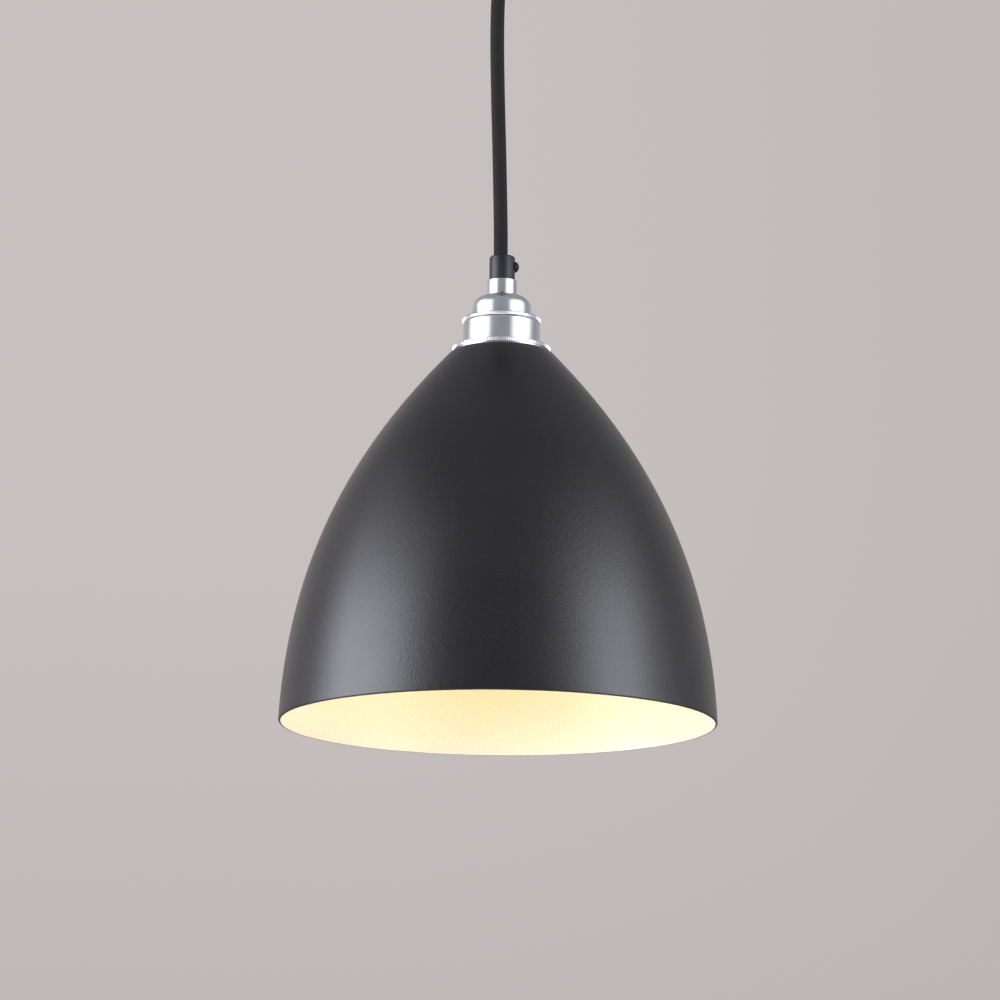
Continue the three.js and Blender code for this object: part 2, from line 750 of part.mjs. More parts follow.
function centreContact() {
  const reach = contactThickness + porcelainHeight + 2 * seat;
  const stem = rod(contactStem, at(0, 0, contactBottom), axisZ, reach);
  const button = disc(contactRadius, contactBottom, shellTop, smallSides);
  return button.add(stem);
}

function sideContact() {
  return rod(shellStem, at(shellStemPlace, 0, shellTop + seat), axisZ, porcelainHeight);
}

function screwShell() {
  const bottom = shellTop - shellLength;
  const lipBore = contactRadius + shellLip;
  return turned([
    [shellBore, bottom],
    [shellRadius, bottom],
    [shellRadius, shellTop],
    [lipBore, shellTop],
    [lipBore, shellTop - shellWall],
    [shellBore, shellTop - shellWall],
  ], turnedSides);
}

// ---------------------------------------------------------------- shade

// The outer side from the seat to the rim, as [radius, height] points: a flat seat, a
// crisp corner, a straight shoulder, then one long curve down to a nearly upright rim.
function shadeOutline() {
  const slope = THREE.MathUtils.degToRad(shoulderAngle);
  const lean = THREE.MathUtils.degToRad(rimAngle);
  const shoulder = [shoulderRadius, shadeTop - shoulderDrop];
  const seatEdge = shoulder[0] - shoulderDrop / Math.tan(slope);
  const outline = new THREE.Path();
  const cornerEnd = [seatEdge + seatCorner * Math.cos(slope), shadeTop - seatCorner * Math.sin(slope)];
  outline.moveTo(seatEdge - seatCorner, shadeTop);
  outline.quadraticCurveTo(seatEdge, shadeTop, ...cornerEnd);
  outline.lineTo(...shoulder);
  outline.bezierCurveTo(
    shoulder[0] + shoulderReach * Math.cos(slope),
    shoulder[1] - shoulderReach * Math.sin(slope),
    shadeRimRadius - rimReach * Math.sin(lean),
    shadeRim + rimReach * Math.cos(lean),
    shadeRimRadius,
    shadeRim,
  );
  const [corner, straight, bell] = outline.curves;
  return [...corner.getPoints(2), straight.v2, ...bell.getPoints(9).slice(1)];
}

// The same outline moved in by the wall.
function movedIn(points, distance) {
  return points.map((point, i) => {
    const before = points[Math.max(i - 1, 0)];
    const after = points[Math.min(i + 1, points.length - 1)];
    const along = after.clone().sub(before).normalize();
    return new THREE.Vector2(point.x + along.y * distance, point.y - along.x * distance);
  });
}

function bellShade() {
  const outer = shadeOutline();
  const inner = movedIn(outer.slice(1), shadeWall).reverse();
  inner[0].y = shadeRim;
  const profile = [
    [ringBore, shadeTop],
    ...outer.map((point) => [point.x, point.y]),
    ...inner.map((point) => [point.x, Math.min(point.y, shadeTop - shadeWall)]),
    [ringBore, shadeTop - shadeWall],
  ];
  return turned(profile, shadeSides);
}

// ---------------------------------------------------------------- bulb

function footContact() {
  return turned([
    [0, footTop],
    [0.6 * bulbFootRadius, footTop],
    [bulbFootRadius, footTop - 0.6 * bulbFootHeight],
    [bulbFootRadius, footTop - bulbFootHeight],
    [0, footTop - bulbFootHeight],
  ], smallSides);
}

function footInsulator() {
  return turned([
    [0, insulatorTop],
    [bulbFootRadius + 0.6, insulatorTop],
    [bulbThreadRadius - 2, insulatorTop - bulbInsulatorHeight],
    [0, insulatorTop - bulbInsulatorHeight],
  ], turnedSides);
}

function bulbCapShell() {
  const bore = bulbThreadRadius - bulbCapWall;
  const lip = bulbThreadRadius - 3.5;
  return turned([
    [bore, bulbCapBottom],
    [bulbThreadRadius, bulbCapBottom],
    [bulbThreadRadius, bulbCapTop - 1],
    [bulbThreadRadius - 1, bulbCapTop],
    [lip, bulbCapTop],
    [lip, bulbCapTop - bulbCapWall],
    [bore, bulbCapTop - 1 - bulbCapWall],
  ], turnedSides);
}

function bulbCollar() {
  const outer = new THREE.CubicBezierCurve(
    new THREE.Vector2(bulbThreadRadius + 0.4, collarTop),
    new THREE.Vector2(bulbThreadRadius + 0.6, collarTop - 0.4 * collarLength),
    new THREE.Vector2(collarMouth - 2.5, collarBottom + 0.45 * collarLength),
    new THREE.Vector2(collarMouth, collarBottom),
  ).getPoints(4);
  const inner = movedIn(outer, collarWall).reverse();
  inner[0].y = collarBottom;
  inner[inner.length - 1].y = collarTop;
  return turned([...outer, ...inner].map((point) => [point.x, point.y]), turnedSides);
}

function bulbGlobe() {
  const centre = globeBottom + globeRadius;
  const outer = new THREE.CubicBezierCurve(
    new THREE.Vector2(collarMouth + 0.1, globeTop),
    new THREE.Vector2(globeRadius, globeTop - 0.4 * (globeTop - centre)),
    new THREE.Vector2(globeRadius, centre + 0.2 * globeRadius),
    new THREE.Vector2(globeRadius, centre),
  ).getPoints(3);
  const bowl = rounded([globeRadius, centre], [globeRadius, globeBottom], [0, globeBottom], 4);
  const inside = globeRadius - globeWall;
  const innerBottom = globeBottom + globeWall;
  const innerBowl = rounded([0, innerBottom], [inside, innerBottom], [inside, centre], 4);
  return turned([
    ...outer.map((point) => [point.x, point.y]),
    ...bowl.slice(1),
    ...innerBowl,
    [collarMouth + 0.1 - globeWall, globeTop],
  ], turnedSides);
}

function ledBoard() {
  const bottom = collarBottom + boardInset;
  return disc(collarMouth - collarWall - boardEdgeGap, bottom, bottom + boardThickness, turnedSides);
}

function driverBoard() {
  const size = at(driverWidth, boardThickness, collarLength - driverEndGap);
  const bottom = collarBottom + boardInset + boardThickness + seat;
  return block(size, at(0, 0, bottom + size.z / 2));
}

// ---------------------------------------------------------------- the whole lamp

function lamp() {
  const group = new THREE.Group();
  group.add(piece('lamp_grip', gripBody(), 'blackNylon'));
  group.add(piece('lamp_grip_screw', gripScrew(), 'blackNylon'));
  group.add(piece('lamp_flex_tail', flexTail(lampTailLength), 'blackBraid'));
  coreNames.forEach((name, i) => {
    group.add(piece(`lamp_core_${name}`, lampCore(i), coreFinishes[i]));
  });
  group.add(piece('holder_cap', holderCap(), 'polishedAluminium'));
  group.add(piece('cap_lock_screw', lockScrew(), 'zincSteel'));
  group.add(piece('union_ring', unionRing(), 'polishedAluminium'));
  group.add(piece('holder_skirt', holderSkirt(), 'polishedAluminium'));
  group.add(piece('upper_shade_ring', upperShadeRing(), 'polishedAluminium'));
  group.add(piece('lower_shade_ring', lowerShadeRing(), 'polishedAluminium'));
  group.add(piece('shade', bellShade(), 'blackPowder'));
  group.add(piece('porcelain_insert', porcelainInsert(), 'porcelain'));
  group.add(piece('earth_ring', earthRing(), 'brass'));
  group.add(piece('earth_ring_screw', earthScrew(), 'brass'));
  group.add(piece('pillar_live', pillar(-1), 'brass'));
  group.add(piece('pillar_neutral', pillar(1), 'brass'));
  group.add(piece('pillar_screw_live', pillarScrew(-1), 'zincSteel'));
  group.add(piece('pillar_screw_neutral', pillarScrew(1), 'zincSteel'));
  group.add(piece('centre_contact', centreContact(), 'brass'));
  group.add(piece('side_contact', sideContact(), 'brass'));
  group.add(piece('screw_shell', screwShell(), 'nickel'));
  group.add(piece('bulb_foot_contact', footContact(), 'nickel'));
  group.add(piece('bulb_foot_insulator', footInsulator(), 'blackGlass'));
  group.add(piece('bulb_cap_shell', bulbCapShell(), 'nickel'));
  group.add(piece('bulb_collar', bulbCollar(), 'whiteNylon'));
  group.add(piece('bulb_globe', bulbGlobe(), 'opal'));
  group.add(piece('led_board', ledBoard(), 'circuitBoard'));
  group.add(piece('driver_board', driverBoard(), 'circuitBoard'));
  group.position.z = lampMouth;
  return group;
}

const pendant = new THREE.Group();
pendant.add(ceilingRose());
pendant.add(piece('flex', tube(flexRoute, flexRadius, flexSides, 14), 'blackBraid'));
pendant.add(lamp());

export default pendant;
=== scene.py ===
import math
import bmesh
import bpy
from mathutils import Matrix, Vector


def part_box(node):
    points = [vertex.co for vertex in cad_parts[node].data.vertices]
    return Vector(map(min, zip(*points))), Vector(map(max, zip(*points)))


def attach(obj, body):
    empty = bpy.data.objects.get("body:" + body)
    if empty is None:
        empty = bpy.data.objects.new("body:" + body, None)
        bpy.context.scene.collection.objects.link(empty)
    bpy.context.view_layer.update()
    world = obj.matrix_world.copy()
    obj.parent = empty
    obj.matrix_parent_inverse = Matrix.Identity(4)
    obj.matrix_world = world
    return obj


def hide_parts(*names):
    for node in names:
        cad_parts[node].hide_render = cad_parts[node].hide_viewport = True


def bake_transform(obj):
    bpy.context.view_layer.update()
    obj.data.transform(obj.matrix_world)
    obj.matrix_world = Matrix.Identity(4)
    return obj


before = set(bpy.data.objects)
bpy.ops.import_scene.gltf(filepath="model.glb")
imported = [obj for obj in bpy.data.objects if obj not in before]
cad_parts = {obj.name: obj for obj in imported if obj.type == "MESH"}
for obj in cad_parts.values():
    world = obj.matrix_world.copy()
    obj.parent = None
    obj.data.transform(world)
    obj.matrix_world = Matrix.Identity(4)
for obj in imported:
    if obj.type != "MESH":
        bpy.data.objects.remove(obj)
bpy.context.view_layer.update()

mm = 0.001
tiny = 1e-6
onWall = 0.05 * mm              # how near a wall's radius a point is to be counted as on it
upward = Vector((0, 0, 1))
print("frame loaded:", len(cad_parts), "nodes")


# selecting, as in the viewport

def nothingSelected():
    if bpy.context.mode != "OBJECT":
        bpy.ops.object.mode_set(mode="OBJECT")
    bpy.ops.object.select_all(action="DESELECT")


def onlySelected(piece):
    nothingSelected()
    piece.select_set(True)
    bpy.context.view_layer.objects.active = piece


def pick(piece, wanted):
    # in edit mode: selects the vertices whose place passes, and what lies between them
    mesh = bmesh.from_edit_mesh(piece.data)
    bpy.ops.mesh.select_all(action="DESELECT")
    for vertex in mesh.verts:
        vertex.select_set(wanted(vertex.co))
    mesh.select_flush(True)
    bmesh.update_edit_mesh(piece.data)


def far(place):
    return math.hypot(place.x, place.y)


def smoothed(piece, angle=32):
    onlySelected(piece)
    bpy.ops.object.shade_smooth_by_angle(angle=math.radians(angle))
    return piece


# shaping

def turned(name, outline, sides=96, shut=True, smooth=32):
    # a ring carried along an outline of (radius, height, rounding, steps), by extrude and resize
    nothingSelected()
    corners = list(outline)
    fromPole = corners[0][0] == 0
    pole = corners.pop(0) if fromPole else None
    radius, height = corners[0][:2]
    bpy.ops.mesh.primitive_circle_add(
        vertices=sides, radius=radius, location=(0, 0, height),
        fill_type="TRIFAN" if fromPole else "NOTHING",
    )
    piece = bpy.context.object
    piece.name = name
    bpy.ops.object.transform_apply(location=True, rotation=True, scale=True)
    bpy.ops.object.mode_set(mode="EDIT")
    if fromPole:
        pick(piece, lambda place: far(place) < radius / 2)
        bpy.ops.transform.translate(value=(0, 0, pole[1] - height))
    pick(piece, lambda place: far(place) > radius / 2)
    goesOn = corners[1:] + (corners[:1] if shut and not fromPole else [])
    for corner in goesOn:
        nextRadius, nextHeight = corner[:2]
        bpy.ops.mesh.extrude_region_move(
            TRANSFORM_OT_translate={"value": (0, 0, nextHeight - height)})
        if nextRadius == 0:
            bpy.ops.mesh.merge(type="CENTER")
        elif nextRadius != radius:
            factor = nextRadius / radius
            bpy.ops.transform.resize(
                value=(factor, factor, 1), center_override=(0, 0, nextHeight))
        radius, height = nextRadius, nextHeight
    bpy.ops.mesh.select_all(action="SELECT")
    bpy.ops.mesh.remove_doubles(threshold=tiny)
    bpy.ops.mesh.normals_make_consistent(inside=False)
    for corner in corners:
        if len(corner) > 2:
            roundRing(piece, *corner)
    bpy.ops.object.mode_set(mode="OBJECT")
    return smoothed(piece, smooth)


def roundRing(piece, radius, height, rounding, steps=3):
    pick(piece, lambda place: abs(far(place) - radius) < 4 * tiny and abs(place.z - height) < 4 * tiny)
    bpy.ops.mesh.bevel(offset=rounding, segments=steps, affect="EDGES", clamp_overlap=True)


def placed(piece, place, direction=upward, roll=0):
    # sets a piece that was made at the origin, facing up, and applies its place to its mesh
    onlySelected(piece)
    turn = upward.rotation_difference(Vector(direction)).to_matrix().to_4x4()
    piece.matrix_world = Matrix.Translation(Vector(place)) @ turn @ Matrix.Rotation(roll, 4, "Z")
    bpy.ops.object.transform_apply(location=True, rotation=True, scale=True)
    return piece


def cutBy(piece, cutter):
    onlySelected(piece)
    cut = piece.modifiers.new("cut", "BOOLEAN")
    cut.operation = "DIFFERENCE"
    cut.solver = "EXACT"
    cut.object = cutter
    bpy.ops.object.modifier_apply(modifier=cut.name)
    bpy.data.objects.remove(cutter)
    return smoothed(piece)


def block(name, low, high):
    # a cube between two corners, for cutting with
    low, high = Vector(low), Vector(high)
    nothingSelected()
    bpy.ops.mesh.primitive_cube_add(size=1, location=(low + high) / 2, scale=high - low)
    piece = bpy.context.object
    piece.name = name
    bpy.ops.object.transform_apply(location=True, rotation=True, scale=True)
    return piece


def knurled(piece, teeth, outer, depth, reach):
    # every second pair of columns on the outer face goes in by depth
    onlySelected(piece)
    bpy.ops.object.mode_set(mode="EDIT")

    def inGroove(place):
        step = math.atan2(place.y, place.x) / (2 * math.pi) * teeth * 4
        return far(place) > outer - reach and round(step) % 4 in (2, 3)

    pick(piece, inGroove)
    factor = 1 - depth / outer
    bpy.ops.transform.resize(value=(factor, factor, 1), center_override=(0, 0, 0))
    bpy.ops.object.mode_set(mode="OBJECT")
    return smoothed(piece, 24)


def finished(piece, body, slot, material, *nodes):
    if material is not None:
        piece.data.materials.clear()
        piece.data.materials.append(material)
    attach(piece, body)
    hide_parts(*nodes)
    return piece


# materials: every one reads Object coordinates, unless it follows a weave

class Recipe:
    # a node material that is put together step by step

    def __init__(self, name, colour, roughness, **sockets):
        self.material = bpy.data.materials.new(name)
        self.material.use_nodes = True
        self.tree = self.material.node_tree
        self.shader = self.tree.nodes["Principled BSDF"]
        self.shader.inputs["Roughness"].default_value = roughness
        self.shader.inputs["Base Color"].default_value = (*colour, 1)
        for socket, value in sockets.items():
            self.shader.inputs[socket.replace("_", " ")].default_value = value
        self.bumpNode = None

    def add(self, kind, values=(), **settings):
        node = self.tree.nodes.new("ShaderNode" + kind)
        for setting, value in settings.items():
            setattr(node, setting, value)
        for socket, value in dict(values).items():
            if isinstance(value, bpy.types.NodeSocket):
                self.tree.links.new(value, node.inputs[socket])
            else:
                node.inputs[socket].default_value = value
        return node

    def places(self, stretch=(1, 1, 1), turn=(0, 0, 0)):
        where = self.add("TexCoord").outputs["Object"]
        return self.add("Mapping", {"Vector": where, "Scale": stretch, "Rotation": turn}).outputs[0]

    def noise(self, scale, stretch=(1, 1, 1), detail=3, rough=0.5):
        return self.add("TexNoise", {
            "Vector": self.places(stretch), "Scale": scale, "Detail": detail, "Roughness": rough,
        }).outputs["Fac"]

    def spread(self, value, low, high, fromLow=0.3, fromHigh=0.7):
        return self.add("MapRange", {
            "Value": value, "From Min": fromLow, "From Max": fromHigh, "To Min": low, "To Max": high,
        }).outputs[0]

    def math(self, operation, first, second=0.0):
        return self.add("Math", {0: first, 1: second}, operation=operation).outputs[0]

    def blendColours(self, amount, first, second):
        mix = self.add("Mix", {"Factor": amount}, data_type="RGBA")
        for socket, colour in ((mix.inputs[6], first), (mix.inputs[7], second)):
            if isinstance(colour, bpy.types.NodeSocket):
                self.tree.links.new(colour, socket)
            else:
                socket.default_value = (*colour, 1)
        return mix.outputs[2]

    def colour(self, value):
        self.tree.links.new(value, self.shader.inputs["Base Color"])
        return self

    def roughness(self, value):
        self.tree.links.new(value, self.shader.inputs["Roughness"])
        return self

    def bump(self, height, strength, distance):
        node = self.add("Bump", {"Height": height, "Strength": strength, "Distance": distance})
        if self.bumpNode is not None:
            self.tree.links.new(self.bumpNode.outputs[0], node.inputs["Normal"])
        self.tree.links.new(node.outputs[0], self.shader.inputs["Normal"])
        self.bumpNode = node
        return self


def powderCoat(name, dark, light, roughness, grain, lift):
    # sprayed powder: a fine pebbled skin with lighter specks and slow changes of tone
    recipe = Recipe(name, dark, roughness)
    fine = recipe.noise(grain, detail=2)
    broad = recipe.noise(14, detail=2)
    tone = recipe.blendColours(recipe.spread(fine, 0, 1, 0.42, 0.72), dark, light)
    recipe.colour(recipe.blendColours(recipe.spread(broad, 0, 0.35), tone, light))
    recipe.roughness(recipe.spread(broad, roughness - 0.03, roughness + 0.04))
    return recipe.bump(fine, lift, 0.00012).material


def turnedMetal(name, dark, light, roughness, lines, lift):
    # metal from the lathe: fine rings round the axis, worn tone and a few soft smears
    recipe = Recipe(name, light, roughness, Metallic=1.0)
    rings = recipe.noise(lines, stretch=(0.004, 0.004, 1), detail=4, rough=0.6)
    smears = recipe.noise(90, stretch=(1, 1, 0.4), detail=3)
    recipe.colour(recipe.blendColours(recipe.spread(smears, 0, 1), dark, light))
    recipe.roughness(recipe.spread(smears, roughness - 0.03, roughness + 0.05))
    return recipe.bump(rings, lift, 0.00002).material


def plainMetal(name, dark, light, roughness, grain, lift, spangle=0):
    # plated or rolled metal: cloudy tone, fine grain and, on zinc, crystals
    recipe = Recipe(name, light, roughness, Metallic=1.0)
    cloud = recipe.noise(grain / 6, detail=4, rough=0.6)
    fine = recipe.noise(grain, detail=3)
    tone = recipe.blendColours(recipe.spread(cloud, 0, 1), dark, light)
    if spangle:
        cells = recipe.add("TexVoronoi", {"Vector": recipe.places(), "Scale": spangle})
        shade = recipe.spread(cells.outputs["Distance"], 0, 0.5, 0, 0.7)
        tone = recipe.blendColours(shade, tone, dark)
    recipe.colour(tone)
    recipe.roughness(recipe.spread(fine, roughness - 0.05, roughness + 0.07))
    return recipe.bump(fine, lift, 0.00003).material


def mouldedPlastic(name, dark, light, roughness, grain, lift, **sockets):
    # moulded plastic or glaze: fine skin and faint flow marks
    recipe = Recipe(name, light, roughness, **sockets)
    fine = recipe.noise(grain, detail=2)
    flow = recipe.noise(70, stretch=(1, 1, 0.3), detail=3)
    recipe.colour(recipe.blendColours(recipe.spread(flow, 0, 1), dark, light))
    recipe.roughness(recipe.spread(flow, roughness - 0.04, roughness + 0.05))
    return recipe.bump(fine, lift, 0.00006).material


braid = {
    "carriers": 16,             # strands round the flex in each direction
    "cellLength": 1.45 * mm,
    "height": 0.16 * mm,
    "yarns": 5,                 # yarns side by side in a strand
    "roundness": 0.6,           # a lower power makes a strand flatter on top
    "dip": 0.45,                # share of its height that a strand loses where it dives under
    # dark is the cloth's own black; the blend towards light on the yarns' crowns is painted shade and
    # highlight, with a random fluff tone
    "dark": (0.0048, 0.0042, 0.0048),
    "light": (0.0145, 0.0125, 0.014),
}


def braidCloth():
    # the map runs once across a strand's cell each way, so strands lie on its diagonals
    recipe = Recipe("blackBraid", braid["dark"], 0.72)
    recipe.shader.inputs["Sheen Weight"].default_value = 0.03
    recipe.shader.inputs["Specular IOR Level"].default_value = 0.22
    recipe.shader.inputs["Sheen Roughness"].default_value = 0.4
    where = recipe.add("UVMap", uv_map="braid").outputs[0]
    across = recipe.add("SeparateXYZ", {0: where})
    oneWay = recipe.math("ADD", across.outputs[0], across.outputs[1])
    otherWay = recipe.math("SUBTRACT", across.outputs[0], across.outputs[1])
    parity = recipe.math("ADD", recipe.math("FLOOR", oneWay), recipe.math("FLOOR", otherWay))
    onTop = recipe.math("PINGPONG", parity, 1.0)
    chosen = recipe.add("Mix", {"Factor": onTop}, data_type="FLOAT")
    recipe.tree.links.new(recipe.math("FRACT", oneWay), chosen.inputs[2])
    recipe.tree.links.new(recipe.math("FRACT", otherWay), chosen.inputs[3])
    wave = recipe.math("SINE", recipe.math("MULTIPLY", chosen.outputs[0], 2 * math.pi * braid["yarns"]))
    yarn = recipe.spread(wave, 0, 1, -1, 1)
    fluff = recipe.noise(2600, detail=2)
    # painted shade: the tone follows the yarns' height, darker in the grooves between yarns and lighter on
    # their crowns, times a random fluff
    tone = recipe.math("MULTIPLY", yarn, recipe.spread(fluff, 0.4, 1))
    recipe.colour(recipe.blendColours(tone, braid["dark"], braid["light"]))
    recipe.bump(yarn, 0.6, 0.00008)
    return recipe.bump(fluff, 0.35, 0.00006).material


shadeBlack = powderCoat(
    "shadeBlack", (0.0034, 0.0029, 0.0036), (0.0088, 0.0076, 0.0092), 0.33, 1300, 0.75)
roseBlack = powderCoat("roseBlack", (0.012, 0.012, 0.013), (0.022, 0.022, 0.024), 0.42, 1900, 0.4)
whiteEnamel = powderCoat("whiteEnamel", (0.80, 0.77, 0.70), (0.86, 0.84, 0.78), 0.36, 900, 0.15)
aluminium = turnedMetal("polishedAluminium", (0.63, 0.64, 0.66), (0.72, 0.73, 0.75), 0.23, 9000, 0.25)
blackNylon = mouldedPlastic(
    "blackNylon", (0.0085, 0.0085, 0.0112), (0.0165, 0.0165, 0.0215), 0.42, 1400, 0.35,
    Specular_IOR_Level=0.33)
blackScrew = mouldedPlastic(
    "blackScrew", (0.0025, 0.0025, 0.0028), (0.0050, 0.0050, 0.0055), 0.32, 1400, 0.2,
    Specular_IOR_Level=0.2)
whiteNylon = mouldedPlastic("whiteNylon", (0.66, 0.65, 0.60), (0.78, 0.77, 0.73), 0.38, 1200, 0.2)
porcelain = mouldedPlastic(
    "porcelain", (0.76, 0.74, 0.69), (0.84, 0.82, 0.78), 0.16, 300, 0.2, Coat_Weight=0.6)
brownSleeve = mouldedPlastic("brownSleeve", (0.085, 0.032, 0.014), (0.13, 0.052, 0.024), 0.42, 1500, 0.3)
blueSleeve = mouldedPlastic("blueSleeve", (0.010, 0.055, 0.26), (0.018, 0.085, 0.36), 0.42, 1500, 0.3)
blackGlass = mouldedPlastic("blackGlass", (0.006, 0.006, 0.008), (0.013, 0.013, 0.016), 0.12, 400, 0.15)
zincSteel = plainMetal("zincSteel", (0.42, 0.43, 0.45), (0.62, 0.63, 0.65), 0.32, 900, 0.3, spangle=260)
brass = plainMetal("brass", (0.52, 0.34, 0.13), (0.76, 0.55, 0.24), 0.26, 1100, 0.25)
nickel = plainMetal("nickel", (0.50, 0.48, 0.44), (0.70, 0.68, 0.63), 0.24, 1000, 0.25)
braidBlack = braidCloth()
print("materials made")


# shade: a thin spun bell, black outside and white enamelled inside

shade = {
    "hole": 17.2 * mm,
    "seatCorner": 1.4 * mm,
    "shoulder": 28.2 * mm,
    "shoulderDrop": 3.95 * mm,
    "shoulderAngle": math.radians(47),
    "shoulderReach": 68 * mm,
    "rimAngle": math.radians(2.7),
    "rimReach": 74 * mm,
    "wall": 1.2 * mm,
    "rimOutside": 0.8 * mm,     # rounding of the rim on its two sides
    "rimInside": 0.3 * mm,
    "rimBand": 0.2 * mm,        # what lies within this of the rim is its edge
    "sides": 192,
    "rings": 44,
}


def shadeProfile(top, rim, rimRadius):
    slope, lean = shade["shoulderAngle"], shade["rimAngle"]
    start = Vector((shade["shoulder"], top - shade["shoulderDrop"]))
    end = Vector((rimRadius, rim))
    leaving = start + shade["shoulderReach"] * Vector((math.cos(slope), -math.sin(slope)))
    arriving = end + shade["rimReach"] * Vector((-math.sin(lean), math.cos(lean)))
    seatEdge = start.x - shade["shoulderDrop"] / math.tan(slope)
    points = [(shade["hole"], top), (seatEdge, top, shade["seatCorner"], 4)]
    for step in range(shade["rings"] + 1):
        t = step / shade["rings"]
        place = ((1 - t) ** 3 * start + 3 * (1 - t) ** 2 * t * leaving
                 + 3 * (1 - t) * t ** 2 * arriving + t ** 3 * end)
        points.append((place.x, place.y))
    return points


def makeShade():
    low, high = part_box("shade")
    piece = turned("bellShade", shadeProfile(high.z, low.z, high.x), shade["sides"], shut=False)
    onlySelected(piece)
    wall = piece.modifiers.new("wall", "SOLIDIFY")
    wall.thickness = shade["wall"]
    wall.offset = -1
    wall.use_even_offset = True
    wall.material_offset = 1
    piece.data.materials.append(shadeBlack)
    piece.data.materials.append(whiteEnamel)
    bpy.ops.object.modifier_apply(modifier=wall.name)
    bpy.ops.object.mode_set(mode="EDIT")
    edge, middle = low.z + shade["rimBand"], high.x - shade["wall"] / 2
    pick(piece, lambda place: place.z < edge and far(place) > middle)
    bpy.ops.mesh.bevel(offset=shade["rimOutside"], segments=4, affect="EDGES", clamp_overlap=True)
    innerSide = high.x - shade["wall"] + shade["rimBand"] / 2
    pick(piece, lambda place: place.z < edge and far(place) < innerSide)
    bpy.ops.mesh.bevel(offset=shade["rimInside"], segments=2, affect="EDGES", clamp_overlap=True)
    bpy.ops.object.mode_set(mode="OBJECT")
    smoothed(piece, 35)
    return finished(piece, "lamp", "shade_black", None, "shade")


makeShade()
print("shade made")


# flex: a braided textile tube with every strand raised, which leans and bows a little

flexLine = {
    "top": -42.2 * mm,
    "route": [                  # (down from the rose's grip, aside), in millimetres
        (0, -0.8), (7, -0.82), (14, -0.95), (23, -1.35), (33, -1.95), (44, -2.65), (55, -3.2),
        (66, -3.5), (77, -3.55), (89, -3.4), (101, -3.1), (113, -2.75), (125, -2.35),
        (137, -1.95), (149, -1.6), (160, -1.3), (170, -1.05), (179, -0.88), (190, -0.8),
    ],
    "radius": 3.48 * mm,
    "sides": 64,
    "ballSteps": 6,             # steps from the last ring to the pole of the half ball at an end
    "tip": 0.15,                # height of an end's last point, as a share of the last ring's radius
    "ringsPerCell": 4,          # rings along one cell of the braid
    "bendAbove": 8 * mm,        # the flex takes its bend from above the grip's mouth to below it
    "bendBelow": 11 * mm,
}


def flexPlace(down):
    # the line through the route's points, smoothly
    route = flexLine["route"]
    last = len(route) - 1
    i = max(k for k in range(last) if route[k][0] <= down + tiny)
    before, a, b, after = (route[min(max(k, 0), last)] for k in (i - 1, i, i + 1, i + 2))
    t = (down - a[0]) / (b[0] - a[0])
    slopeA = (b[1] - before[1]) / (b[0] - before[0]) if i else 0
    slopeB = (after[1] - a[1]) / (after[0] - a[0]) if i + 1 < last else 0
    span = b[0] - a[0]
    aside = ((2 * t ** 3 - 3 * t ** 2 + 1) * a[1] + (t ** 3 - 2 * t ** 2 + t) * span * slopeA
             + (3 * t ** 2 - 2 * t ** 3) * b[1] + (t ** 3 - t ** 2) * span * slopeB)
    return Vector((aside * mm, 0, flexLine["top"] - down * mm))


def braidHeight(across, along):
    # how high the strand that is on top stands, from 0 to 1
    oneWay, otherWay = across + along, across - along
    onTop, under = oneWay % 1, otherWay % 1
    if (math.floor(oneWay) + math.floor(otherWay)) % 2:
        onTop, under = under, onTop
    crown = math.sin(math.pi * onTop) ** braid["roundness"]
    return crown * ((1 - braid["dip"]) + braid["dip"] * math.sin(math.pi * under))


def braidedTube(name, centres, radius, closeStart, closeEnd):
    # rings of the tube with the strands' height in them, each end a half ball or open
    sides, carriers = flexLine["sides"], braid["carriers"]
    rows = []                   # (centre, radius, distance along)
    travelled = 0
    for i, centre in enumerate(centres):
        if i:
            travelled += (centre - centres[i - 1]).length
        rows.append((centre, radius, travelled))

    def ball(centre, sign, distance):
        arc = []
        for k in range(1, flexLine["ballSteps"]):
            angle = k / flexLine["ballSteps"] * math.pi / 2
            arc.append((centre + sign * radius * math.sin(angle) * upward,
                        radius * math.cos(angle), distance - sign * radius * math.sin(angle)))
        return arc

    if closeStart:
        rows = list(reversed(ball(centres[0], 1, 0))) + rows
    if closeEnd:
        rows = rows + ball(centres[-1], -1, travelled)
    verts, faces, marks = [], [], []
    for centre, size, distance in rows:
        along = distance / braid["cellLength"]
        for k in range(sides):
            across = k / sides * carriers
            lift = braid["height"] * (braidHeight(across, along) - 1) * min(1, size / radius)
            turn = 2 * math.pi * k / sides
            verts.append(centre + (size + lift) * Vector((math.cos(turn), math.sin(turn), 0)))
    for row in range(len(rows) - 1):
        for k in range(sides):
            after = (k + 1) % sides
            faces.append((row * sides + k, (row + 1) * sides + k,
                          (row + 1) * sides + after, row * sides + after))
            marks.append((row, k))
    for row, ringOrder, sign in ((0, range(sides), 1), (len(rows) - 1, reversed(range(sides)), -1)):
        centre, size = rows[row][:2]
        verts.append(centre + sign * upward * (flexLine["tip"] * size))
        ring = list(ringOrder)
        for k in range(sides):
            faces.append((row * sides + ring[k], row * sides + ring[(k + 1) % sides], len(verts) - 1))
            marks.append(None)
    mesh = bpy.data.meshes.new(name)
    mesh.from_pydata(verts, [], faces)
    weave = mesh.uv_layers.new(name="braid")
    for face, mark in zip(mesh.polygons, marks):
        if mark is None:
            continue
        row, k = mark
        corners = ((row, k), (row + 1, k), (row + 1, k + 1), (row, k + 1))
        for loop, (atRow, atSide) in zip(face.loop_indices, corners):
            weave.data[loop].uv = (atSide / sides * carriers, rows[atRow][2] / braid["cellLength"])
    piece = bpy.data.objects.new(name, mesh)
    bpy.context.scene.collection.objects.link(piece)
    return smoothed(piece, 60)


